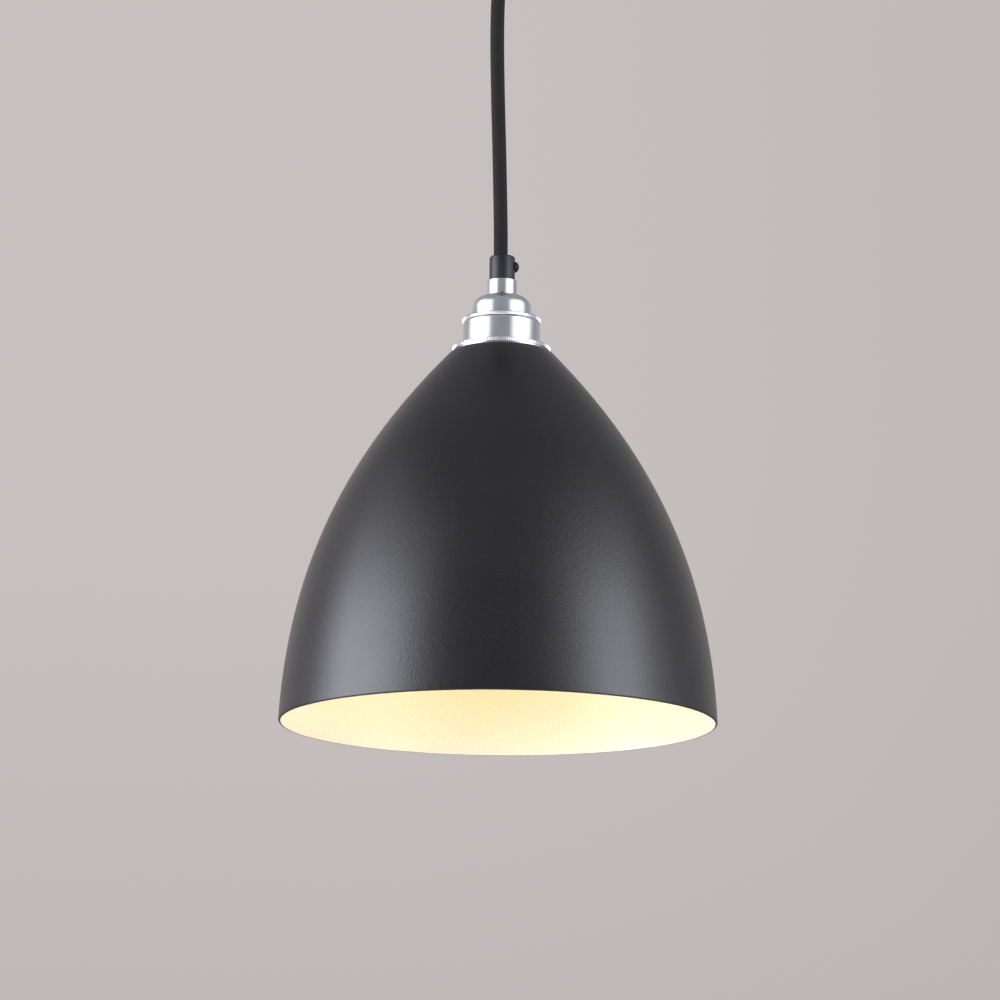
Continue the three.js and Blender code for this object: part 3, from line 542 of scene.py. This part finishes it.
def makeFlex():
    # the ends are half balls about the joints, so no gap opens when the lamp tilts
    total = flexLine["route"][-1][0]
    count = round(total * mm / braid["cellLength"] * flexLine["ringsPerCell"])
    centres = [flexPlace(total * i / count) for i in range(count + 1)]
    piece = braidedTube("braidedFlex", centres, flexLine["radius"], True, True)
    piece.data.materials.append(braidBlack)
    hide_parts("flex")
    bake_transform(piece)
    return piece


makeFlex()
print("flex made")


# lampholder: cap, union ring and upper shade ring, all turned and polished

holder = {
    "neckBore": 5.2 * mm,
    "neck": 7.3 * mm,
    "neckEdge": 0.4 * mm,
    "dome": 14.4 * mm,
    "domeTop": -252.5 * mm,
    "domeShoulder": 6 * mm,
    "capWall": 1.5 * mm,
    "notch": 1.2 * mm,
    "notchHeight": -252.65 * mm,
    "notchReach": 0.3 * mm,     # out from the neck, into the dome's top
    "lockScrew": 0.8 * mm,
    "lockScrewSunk": 1.6 * mm,
    "lockScrewInside": 0.6 * mm,  # how far it reaches into the neck's bore
    "lockScrewEdge": 0.15 * mm,
    "lockScrewSlot": 0.3 * mm,
    "lockScrewSlotDepth": 0.35 * mm,
    "lockScrewTurn": math.radians(20),
    "unionRaised": 0.6 * mm,    # the union ring's foot and the sleeve's top, above the frame's
    "unionGap": 0.3 * mm,       # round the dome
    "unionRounding": 0.9 * mm,
    "unionTeeth": 108,
    "unionDepth": 0.28 * mm,
    "sleeve": 18.8 * mm,
    "bore": 17.2 * mm,
    "flange": 2.4 * mm,
    "undercut": 0.45 * mm,
    "flangeTeeth": 132,
    "flangeDepth": 0.3 * mm,
    "flangeRounding": 0.45 * mm,
}


def makeCap():
    low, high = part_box("holder_cap")
    top, wall = holder["domeTop"], holder["capWall"]
    piece = turned("holderCap", [
        (holder["neckBore"], high.z, 0.3 * mm, 2),
        (holder["neck"], high.z, holder["neckEdge"], 3),
        (holder["neck"], top, 0.35 * mm, 3),
        (holder["dome"], top, holder["domeShoulder"], 14),
        (holder["dome"], low.z),
        (holder["dome"] - wall, low.z),
        (holder["dome"] - wall, top - wall, holder["domeShoulder"] - wall, 8),
        (holder["neckBore"], top - wall),
    ], 128)
    nothingSelected()
    reach = holder["neck"] + holder["notchReach"]
    bpy.ops.mesh.primitive_cylinder_add(
        vertices=32, radius=holder["notch"], depth=reach,
        location=(0, -reach / 2, holder["notchHeight"]), rotation=(math.pi / 2, 0, 0))
    cutter = bpy.context.object
    bpy.ops.object.transform_apply(location=True, rotation=True, scale=True)
    cutBy(piece, cutter)
    return finished(piece, "lamp", "polished_aluminium", aluminium, "holder_cap")


def makeLockScrew():
    # a slotted screw without a head, sunk in the notch
    radius, outward = holder["lockScrew"], holder["neck"] - holder["lockScrewSunk"]
    length = outward - holder["neckBore"] + holder["lockScrewInside"]
    edge, half, depth = holder["lockScrewEdge"], holder["lockScrewSlot"] / 2, holder["lockScrewSlotDepth"]
    piece = turned("capLockScrew", [
        (0, 0), (radius, 0, edge, 2), (radius, -length, edge, 2), (0, -length)], 32, shut=False)
    cutBy(piece, block("slotCut", (-2 * radius, -half, -depth), (2 * radius, half, radius)))
    placed(piece, (0, -outward, holder["notchHeight"]), (0, -1, 0), holder["lockScrewTurn"])
    return finished(piece, "lamp", "zinc_steel", zincSteel, "cap_lock_screw")


def makeUnionRing():
    low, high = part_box("union_ring")
    low.z += holder["unionRaised"]
    outer = high.x
    bore = holder["dome"] + holder["unionGap"]
    piece = turned("unionRing", [
        (bore, high.z, 0.3 * mm, 2),
        (outer, high.z, holder["unionRounding"], 5),
        (outer, low.z, holder["unionRounding"], 5),
        (bore, low.z),
    ], holder["unionTeeth"] * 4)
    knurled(piece, holder["unionTeeth"], outer, holder["unionDepth"], 0.75 * mm)
    return finished(piece, "lamp", "polished_aluminium", aluminium, "union_ring")


def makeUpperRing():
    low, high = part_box("upper_shade_ring")
    high.z += holder["unionRaised"]
    outer, shelf = high.x, low.z + holder["flange"]
    piece = turned("upperShadeRing", [
        (holder["bore"], high.z, 0.3 * mm, 2),
        (holder["sleeve"], high.z, 0.35 * mm, 3),
        (holder["sleeve"], shelf, 0.3 * mm, 3),
        (outer, shelf, holder["flangeRounding"], 4),
        (outer, low.z + holder["undercut"], 0.25 * mm, 2),
        (outer - 2 * holder["undercut"], low.z + holder["undercut"]),
        (outer - 2 * holder["undercut"], low.z),
        (holder["bore"], low.z, 0.2 * mm, 2),
    ], holder["flangeTeeth"] * 4)
    knurled(piece, holder["flangeTeeth"], outer, holder["flangeDepth"], 0.6 * mm)
    return finished(piece, "lamp", "polished_aluminium", aluminium, "upper_shade_ring")


makeCap()
makeLockScrew()
makeUnionRing()
makeUpperRing()
print("lampholder made")


# cord grips: black nylon barrels with a side screw, one on the lampholder and one under the rose

grip = {
    "radius": 6.25 * mm,
    "length": 11.9 * mm,
    "edge": 1.25 * mm,
    "bore": 4.6 * mm,
    "mouth": 5.0 * mm,
    "mouthDepth": 0.8 * mm,
    "stem": 4.9 * mm,
    "stemBore": 3.7 * mm,
    "stemLength": 8 * mm,
    "threadPitch": 1.0 * mm,
    "threadDepth": 0.4 * mm,
    "screwDrop": 5.1 * mm,
    "screwHead": 2.75 * mm,
    "screwHeight": 2.3 * mm,
    "screwShank": 1.8 * mm,
    "screwLength": 2.1 * mm,
    "screwSunk": 0.3 * mm,      # the head's foot lies this far inside the barrel's surface
    "screwTurn": math.radians(55),
    "slot": 0.75 * mm,
    "slotDepth": 0.9 * mm,
    "ringSpacing": 0.16 * mm,   # of the rings that carry the stem's thread
}


def waved(piece, outer, depth, pitch, low, high, reach):
    # a right-hand rounded thread: the surface goes in and out along a helix
    for vertex in piece.data.vertices:
        place = vertex.co
        if low < place.z < high and abs(far(place) - outer) < reach:
            phase = place.z / pitch - math.atan2(place.y, place.x) / (2 * math.pi)
            fade = min(1, (place.z - low) / pitch, (high - place.z) / pitch)
            inward = depth * fade * (0.5 - 0.5 * math.cos(2 * math.pi * phase))
            factor = 1 - inward / far(place)
            place.x *= factor
            place.y *= factor
    piece.data.update()
    return smoothed(piece, 50)


def steps(radius, start, end, spacing):
    # rings along a straight wall, close enough to take a thread
    count = max(1, round(abs(end - start) / spacing))
    return [(radius, start + (end - start) * i / count) for i in range(count + 1)]


screwHead = {
    "steps": 8,
    "sweep": 0.96,              # share of a quarter turn that the dome goes down its side
    "point": 0.25 * mm,         # bevel at the shank's end
}


def domedHead(name, head, height, shank, length, slot, depth):
    # a screw that faces up: a domed head on z = 0, its slot, and its shank below
    corners = [(0, height)]
    for i in range(1, screwHead["steps"] + 1):
        angle = i / screwHead["steps"] * math.pi / 2 * screwHead["sweep"]
        corners.append((head * math.sin(angle), height * math.cos(angle)))
    point = screwHead["point"]
    corners += [(head, 0), (shank, 0), (shank, -length + point), (shank - point, -length), (0, -length)]
    piece = turned(name, corners, 40, shut=False, smooth=40)
    cutter = block("slotCut", (-2 * head, -slot / 2, height - depth), (2 * head, slot / 2, 2 * height))
    return cutBy(piece, cutter)


def makeGrip(name, mouth, downward, body, nodes):
    # the stem lies on the downward side of the mouth, or above it for the rose
    foot = -grip["length"]
    stemEnd = foot - grip["stemLength"]
    barrel = turned(name + "Barrel", [
        (grip["mouth"], 0, 0.25 * mm, 2),
        (grip["radius"], 0, grip["edge"], 6),
        (grip["radius"], foot, 0.3 * mm, 2),
        (grip["stem"], foot),
        *steps(grip["stem"], foot - 0.4 * mm, stemEnd, grip["ringSpacing"]),
        (grip["stemBore"], stemEnd),
        (grip["stemBore"], foot + 1.2 * mm),
        (grip["bore"], foot + 2.0 * mm),
        (grip["bore"], -grip["mouthDepth"]),
    ], 72)
    waved(barrel, grip["stem"], grip["threadDepth"], grip["threadPitch"], stemEnd, foot - 0.2 * mm, onWall)
    screw = domedHead(name + "SideScrew", grip["screwHead"], grip["screwHeight"], grip["screwShank"],
                      grip["screwLength"], grip["slot"], grip["slotDepth"])
    placed(screw, (grip["radius"] - grip["screwSunk"], 0, -grip["screwDrop"]), (1, 0, 0), grip["screwTurn"])
    for piece, node, material in ((barrel, nodes[0], blackNylon), (screw, nodes[1], blackScrew)):
        onlySelected(piece)
        flip = Matrix.Identity(4) if downward else Matrix.Rotation(math.pi, 4, "X")
        piece.matrix_world = Matrix.Translation((0, 0, mouth)) @ flip
        bpy.ops.object.transform_apply(location=True, rotation=True, scale=True)
        finished(piece, body, "black_nylon", material, node)


makeGrip("lampGrip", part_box("lamp_grip")[1].z, True, "lamp", ("lamp_grip", "lamp_grip_screw"))
makeGrip("roseGrip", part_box("rose_grip")[0].z, False, "rose", ("rose_grip", "rose_grip_screw"))


tail = {
    "straight": 6.5 * mm,       # goes straight in from the mouth, then moves over to the stem's axis
    "gathering": 4.5 * mm,
    "thinner": 0.1 * mm,        # than the free flex, so that the two don't lie in each other's skin
}


def makeTail(name, node, body, mouth, end, rising):
    # the flex inside a grip, from the joint's centre in to where its sheath is cut
    aside = flexLine["route"][0][1] * mm
    count = round(abs(end - mouth) / braid["cellLength"] * flexLine["ringsPerCell"])
    centres = []
    for i in range(count + 1):
        z = mouth + (end - mouth) * i / count
        inward = min(1, max(0, (abs(z - mouth) - tail["straight"]) / tail["gathering"]))
        centres.append(Vector((aside * (1 - inward * inward * (3 - 2 * inward)), 0, z)))
    if rising:
        centres.reverse()
    piece = braidedTube(name, centres, flexLine["radius"] - tail["thinner"], not rising, rising)
    return finished(piece, body, "black_braid", braidBlack, node)


makeTail("lampTail", "lamp_flex_tail", "lamp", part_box("flex")[0].z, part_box("lamp_flex_tail")[0].z, False)
makeTail("roseTail", "rose_flex_tail", "rose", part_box("flex")[1].z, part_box("rose_flex_tail")[1].z, True)
print("grips made")


# screws, boards, blocks and wires take the frame's own shapes, with their edges worked over

def camel(node):
    first, *rest = node.split("_")
    return first + "".join(word.capitalize() for word in rest)


def reworked(node, body, slot, material, edge=0.2 * mm, rounds=0):
    # a merged copy of the node with broken edges, or made round by subdivision
    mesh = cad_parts[node].data.copy()
    mesh.materials.clear()
    piece = bpy.data.objects.new(camel(node), mesh)
    bpy.context.scene.collection.objects.link(piece)
    onlySelected(piece)
    bpy.ops.object.mode_set(mode="EDIT")
    bpy.ops.mesh.select_all(action="SELECT")
    bpy.ops.mesh.remove_doubles(threshold=2 * tiny)
    if not rounds:
        bpy.ops.mesh.dissolve_limited(angle_limit=math.radians(2))
    bpy.ops.object.mode_set(mode="OBJECT")
    if rounds:
        soft = piece.modifiers.new("soft", "SUBSURF")
        soft.levels = soft.render_levels = rounds
        bpy.ops.object.modifier_apply(modifier=soft.name)
    elif edge:
        broken = piece.modifiers.new("brokenEdge", "BEVEL")
        broken.width = edge
        broken.segments = 2
        broken.limit_method = "ANGLE"
        broken.angle_limit = math.radians(40)
        bpy.ops.object.modifier_apply(modifier=broken.name)
    smoothed(piece, 38)
    return finished(piece, body, slot, material, node)


def earthStripes():
    # green sleeve with two yellow stripes along it
    recipe = Recipe("earthSleeve", (0.03, 0.16, 0.03), 0.42)
    bands = {"Vector": recipe.places(), "Scale": 330, "Distortion": 0.4}
    wave = recipe.add("TexWave", bands, bands_direction="X")
    stripe = recipe.spread(wave.outputs["Fac"], 0, 1, 0.45, 0.55)
    recipe.colour(recipe.blendColours(stripe, (0.022, 0.15, 0.03), (0.62, 0.50, 0.02)))
    return recipe.bump(recipe.noise(1500), 0.3, 0.00005).material


def circuitBoard():
    # white lacquer with faint tracks and round pads
    recipe = Recipe("circuitBoard", (0.55, 0.56, 0.52), 0.35)
    pads = recipe.add("TexVoronoi", {"Vector": recipe.places(), "Scale": 240}, feature="F1")
    tracks = recipe.add("TexBrick", {"Vector": recipe.places(), "Scale": 160, "Mortar Size": 0.03})
    pad = recipe.spread(pads.outputs["Distance"], 1, 0, 0.16, 0.2)
    lacquer = recipe.blendColours(tracks.outputs["Fac"], (0.52, 0.54, 0.50), (0.62, 0.64, 0.60))
    recipe.colour(recipe.blendColours(pad, lacquer, (0.72, 0.66, 0.50)))
    return recipe.bump(tracks.outputs["Fac"], 0.4, 0.00005).material


earthSleeve = earthStripes()
boardLacquer = circuitBoard()
wires = {"live": ("brown_sleeve", brownSleeve), "neutral": ("blue_sleeve", blueSleeve),
         "earth": ("earth_sleeve", earthSleeve)}
for wire, (slot, material) in wires.items():
    reworked("rose_core_" + wire, "rose", slot, material, rounds=2)
    reworked("lamp_core_" + wire, "lamp", slot, material, rounds=2)
    reworked("terminal_insert_" + wire, "rose", "brass", brass)
    reworked("terminal_screw_" + wire, "rose", "zinc_steel", zincSteel, 0.15 * mm)
for node in ("mounting_strap", "rose_grip_nut", "block_screw"):
    reworked(node, "rose", "zinc_steel", zincSteel, 0.25 * mm)
reworked("strap_earth_screw", "rose", "brass", brass)
reworked("terminal_block", "rose", "white_nylon", whiteNylon, 0.5 * mm)
for node in ("pillar_live", "pillar_neutral", "side_contact",
             "earth_ring", "earth_ring_screw", "centre_contact"):
    reworked(node, "lamp", "brass", brass, 0.15 * mm)
for node in ("pillar_screw_live", "pillar_screw_neutral"):
    reworked(node, "lamp", "zinc_steel", zincSteel, 0.15 * mm)
reworked("porcelain_insert", "lamp", "porcelain", porcelain, 0.4 * mm)
reworked("led_board", "bulb", "circuit_board", boardLacquer)
reworked("driver_board", "bulb", "circuit_board", boardLacquer)
print("small parts worked over")


# rose cup with its two side screws

rose = {
    "wall": 1.2 * mm,
    "corner": 7 * mm,
    "hole": 5.2 * mm,
    "lip": 0.5 * mm,
    "screwHole": 1.9 * mm,
    "screwHead": 3.2 * mm,
    "screwHeight": 2.2 * mm,
    "screwSlot": 0.9 * mm,
    "screwSlotDepth": 1.0 * mm,
    "screwShank": 1.5 * mm,
    "screwStandsOff": 0.3 * mm,  # from the cup's wall
    "screwTurn": math.radians(25),
}


def makeRoseCup():
    low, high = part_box("rose_cup")
    outer, wall = high.x, rose["wall"]
    piece = turned("roseCup", [
        (rose["hole"], low.z, 0.3 * mm, 2),
        (outer, low.z, rose["corner"], 12),
        (outer, high.z, rose["lip"], 3),
        (outer - wall, high.z, rose["lip"], 3),
        (outer - wall, low.z + wall, rose["corner"] - wall, 10),
        (rose["hole"], low.z + wall, 0.3 * mm, 2),
    ], 144)
    screwLow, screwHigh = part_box("cup_screw_left")
    height = (screwLow.z + screwHigh.z) / 2
    nothingSelected()
    bpy.ops.mesh.primitive_cylinder_add(
        vertices=24, radius=rose["screwHole"], depth=3 * outer, location=(0, 0, height),
        rotation=(0, math.pi / 2, 0))
    cutter = bpy.context.object
    bpy.ops.object.transform_apply(location=True, rotation=True, scale=True)
    cutBy(piece, cutter)
    finished(piece, "rose", "rose_black", roseBlack, "rose_cup")
    for side, node in ((-1, "cup_screw_left"), (1, "cup_screw_right")):
        nearest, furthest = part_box(node)
        tip = min(abs(nearest.x), abs(furthest.x))
        seat = outer + rose["screwStandsOff"]
        screw = domedHead(camel(node), rose["screwHead"], rose["screwHeight"], rose["screwShank"],
                          seat - tip, rose["screwSlot"], rose["screwSlotDepth"])
        placed(screw, (side * seat, 0, height), (side, 0, 0), rose["screwTurn"])
        finished(screw, "rose", "zinc_steel", zincSteel, node)


makeRoseCup()
print("rose made")


# lampholder's inside: threaded skirt, lower ring and screw shell

inside = {
    "skirtPitch": 3.0 * mm,
    "skirtDepth": 0.7 * mm,
    "skirtWall": 1.5 * mm,
    "capPitch": 3.629 * mm,     # the bulb's thread
    "capDepth": 1.15 * mm,
    "capWall": 0.5 * mm,
    "ringTeeth": 90,
    "ringDepth": 0.45 * mm,
    "skirtSpacing": 0.4 * mm,   # of the rings that carry a thread
    "capSpacing": 0.35 * mm,
    "capBand": 0.3 * mm,        # both faces of the thin sheet lie within this of its middle
}


def makeSkirt():
    low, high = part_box("holder_skirt")
    outer = high.x
    piece = turned("holderSkirt", [
        *steps(outer, high.z, low.z, inside["skirtSpacing"]),
        (outer - inside["skirtWall"], low.z, 0.3 * mm, 2),
        (outer - inside["skirtWall"], high.z),
    ], 96, smooth=50)
    waved(piece, outer, inside["skirtDepth"], inside["skirtPitch"], low.z, high.z, onWall)
    return finished(piece, "lamp", "polished_aluminium", aluminium, "holder_skirt")


def makeLowerRing():
    low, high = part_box("lower_shade_ring")
    outer = high.x
    piece = turned("lowerShadeRing", [
        (holder["bore"], high.z, 0.2 * mm, 2),
        (outer, high.z, 0.6 * mm, 3),
        (outer, low.z, 0.6 * mm, 3),
        (holder["bore"], low.z, 0.4 * mm, 2),
    ], inside["ringTeeth"] * 4)
    knurled(piece, inside["ringTeeth"], outer, inside["ringDepth"], 0.5 * mm)
    return finished(piece, "lamp", "polished_aluminium", aluminium, "lower_shade_ring")


def makeThreadedShell(name, node, body, slot, material, inset):
    # thin sheet rolled into the bulb's thread, open at both ends, where it stays plain over the inset
    low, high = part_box(node)
    outer, spacing = high.x, inside["capSpacing"]
    inner = outer - inside["capWall"]
    outline = steps(outer, high.z, low.z, spacing) + steps(inner, low.z, high.z, spacing)
    piece = turned(name, outline, 96, smooth=50)
    waved(piece, outer - inside["capWall"] / 2, inside["capDepth"], inside["capPitch"],
          low.z + inset, high.z - inset, inside["capBand"])
    return finished(piece, body, slot, material, node)


makeSkirt()
makeLowerRing()
makeThreadedShell("screwShell", "screw_shell", "lamp", "brass", brass, 0.6 * mm)
print("lampholder's inside made")


# bulb: opal globe on a white collar and a nickelled screw cap

bulb = {
    "globeWall": 1.6 * mm,
    "glow": (1.0, 0.67, 0.11),
    "glowStrength": 8.0,
    "neckInset": 0.6 * mm,      # the globe's open end is this much less in radius than its collar
    "outerSteps": 32,
    "innerSteps": 12,
    "innerSquash": 0.97,
}


def opalGlass():
    recipe = Recipe("opalGlobe", (0.85, 0.84, 0.80), 0.35)
    cloud = recipe.noise(40, detail=3)
    recipe.roughness(recipe.spread(cloud, 0.32, 0.40))
    recipe.colour(recipe.blendColours(recipe.spread(cloud, 0, 1), (0.82, 0.81, 0.77), (0.88, 0.87, 0.83)))
    recipe.shader.inputs["Emission Color"].default_value = (*bulb["glow"], 1)
    recipe.shader.inputs["Emission Strength"].default_value = bulb["glowStrength"]
    return recipe.material


def makeGlobe():
    low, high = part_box("bulb_globe")
    radius, centre = high.x, low.z + high.x
    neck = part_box("bulb_collar")[1].x - bulb["neckInset"]
    outer, inner = bulb["outerSteps"], bulb["innerSteps"]
    outline = [(0, low.z)]
    start = math.asin(min(1, neck / radius))
    for i in range(1, outer + 1):
        angle = (math.pi - start) * i / outer
        outline.append((radius * math.sin(angle), centre - radius * math.cos(angle)))
    outline.append((neck - bulb["globeWall"], outline[-1][1]))
    hollow = radius - bulb["globeWall"]
    for i in range(inner - 1, -1, -1):
        angle = (math.pi - start) * i / inner
        outline.append((hollow * math.sin(angle) * bulb["innerSquash"], centre - hollow * math.cos(angle)))
    outline[-1] = (0, low.z + bulb["globeWall"])
    piece = turned("bulbGlobe", outline, 96, shut=False, smooth=60)
    return finished(piece, "bulb", "opal", opalGlass(), "bulb_globe")


makeGlobe()
reworked("bulb_collar", "bulb", "white_nylon", whiteNylon, 0.4 * mm)
makeThreadedShell("bulbCapShell", "bulb_cap_shell", "bulb", "nickel", nickel, 1.4 * mm)
reworked("bulb_foot_insulator", "bulb_foot", "black_glass", blackGlass, 0.3 * mm)
reworked("bulb_foot_contact", "bulb_foot", "nickel", nickel, 0.3 * mm)
print("bulb made")


# stage: pale floor, quiet studio light and the camera

studio = {
    "floor": -1.62,
    "floorSize": 30,
    "wallLeft": (0.571, 0.527, 0.527),
    "wallRight": (0.508, 0.484, 0.466),
    "wallLow": (0.486, 0.442, 0.442),
    "frontTone": (0.325, 0.328, 0.345),
    "ceilingTone": (0.36, 0.37, 0.39),
    "distance": 1.7,
    "tint": (0.955, 0.975, 1.06),
    # a softbox is a nest of panels: azimuth from and to, elevation from and to, in degrees, and power
    "left": [
        (36, 113, -30, 46, 0.6), (40, 107, -27, 40, 0.8), (44, 103, -26, 33, 2.4), (51, 97, -25, 26, 5.5),
    ],
    "right": [
        (29, 104, -30, 46, 0.5), (34, 94, -27, 40, 0.7), (41, 87, -26, 33, 1.9), (47, 80, -25, 27, 4.0),
    ],
}

view = {
    "place": (0, -1.950, -0.760),
    "lens": 148.3,
    "pitch": 11.77,
    "yaw": 0.0,
    "roll": 0.55,
}


def studioAir():
    world = bpy.data.worlds.new("studioAir")
    bpy.context.scene.world = world
    world.use_nodes = True
    tree = world.node_tree
    ground = tree.nodes["Background"]
    where = tree.nodes.new("ShaderNodeTexCoord")
    split = tree.nodes.new("ShaderNodeSeparateXYZ")
    tree.links.new(where.outputs["Generated"], split.inputs[0])

    def ramp(source, low, high):
        node = tree.nodes.new("ShaderNodeMapRange")
        node.interpolation_type = "SMOOTHSTEP"
        node.inputs["From Min"].default_value = low
        node.inputs["From Max"].default_value = high
        tree.links.new(source, node.inputs["Value"])
        return node.outputs[0]

    def mix(amount, first, second):
        node = tree.nodes.new("ShaderNodeMix")
        node.data_type = "RGBA"
        tree.links.new(amount, node.inputs["Factor"])
        for socket, colour in ((node.inputs[6], first), (node.inputs[7], second)):
            if isinstance(colour, bpy.types.NodeSocket):
                tree.links.new(colour, socket)
            else:
                socket.default_value = (*colour, 1)
        return node.outputs[2]

    sideways = mix(ramp(split.outputs[0], -0.04, 0.19), studio["wallLeft"], studio["wallRight"])
    upright = mix(ramp(split.outputs[2], -0.04, 0.22), studio["wallLow"], sideways)
    allRound = mix(ramp(split.outputs[1], 0.35, 0.97), studio["frontTone"], upright)
    whole = mix(ramp(split.outputs[2], 0.45, 0.85), allRound, studio["ceilingTone"])
    tree.links.new(whole, ground.inputs["Color"])


def softBox(name, side, layers):
    # a soft-edged light: upright panels one inside the other, as seen from the lampholder
    aim = Vector((0, 0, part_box("union_ring")[0].z))
    distance = studio["distance"]
    for number, (near, past, lowest, highest, power) in enumerate(layers):
        azimuth = math.radians((near + past) / 2)
        outward = Vector((side * math.sin(azimuth), -math.cos(azimuth), 0))
        low, high = (distance * math.tan(math.radians(angle)) for angle in (lowest, highest))
        width = 2 * distance * math.tan(math.radians((past - near) / 2))
        light = bpy.data.lights.new(f"{name}{number}", "AREA")
        light.shape = "RECTANGLE"
        light.size, light.size_y = width, high - low
        light.energy = power * math.pi * width * (high - low)
        light.color = studio["tint"]
        panel = bpy.data.objects.new(light.name, light)
        bpy.context.scene.collection.objects.link(panel)
        panel.location = aim + outward * distance + upward * (low + high) / 2
        panel.rotation_mode = "QUATERNION"
        panel.rotation_quaternion = (-outward).to_track_quat("-Z", "Y")
        panel.visible_camera = False


def pressCamera():
    data = bpy.data.cameras.new("camera")
    data.lens = view["lens"]
    data.sensor_width = 36
    camera = bpy.data.objects.new("camera", data)
    bpy.context.scene.collection.objects.link(camera)
    turn = (Matrix.Rotation(math.radians(view["yaw"]), 4, "Z")
            @ Matrix.Rotation(math.radians(90 + view["pitch"]), 4, "X")
            @ Matrix.Rotation(math.radians(view["roll"]), 4, "Z"))
    camera.matrix_world = Matrix.Translation(Vector(view["place"])) @ turn
    bpy.context.scene.camera = camera


def paleFloor():
    nothingSelected()
    bpy.ops.mesh.primitive_plane_add(size=studio["floorSize"], location=(0, 0, studio["floor"]))
    floor = bpy.context.object
    floor.name = "floor"
    bpy.ops.object.transform_apply(location=True, rotation=True, scale=True)
    recipe = Recipe("paleFloor", (0.6, 0.56, 0.55), 0.7)
    cloud = recipe.noise(1.4, detail=5)
    recipe.colour(recipe.blendColours(recipe.spread(cloud, 0, 1), (0.57, 0.535, 0.52), (0.62, 0.585, 0.57)))
    floor.data.materials.append(recipe.material)


studioAir()
softBox("leftBox", -1, studio["left"])
softBox("rightBox", 1, studio["right"])
pressCamera()
paleFloor()
bpy.context.scene.view_settings.view_transform = "Standard"
print("stage set")
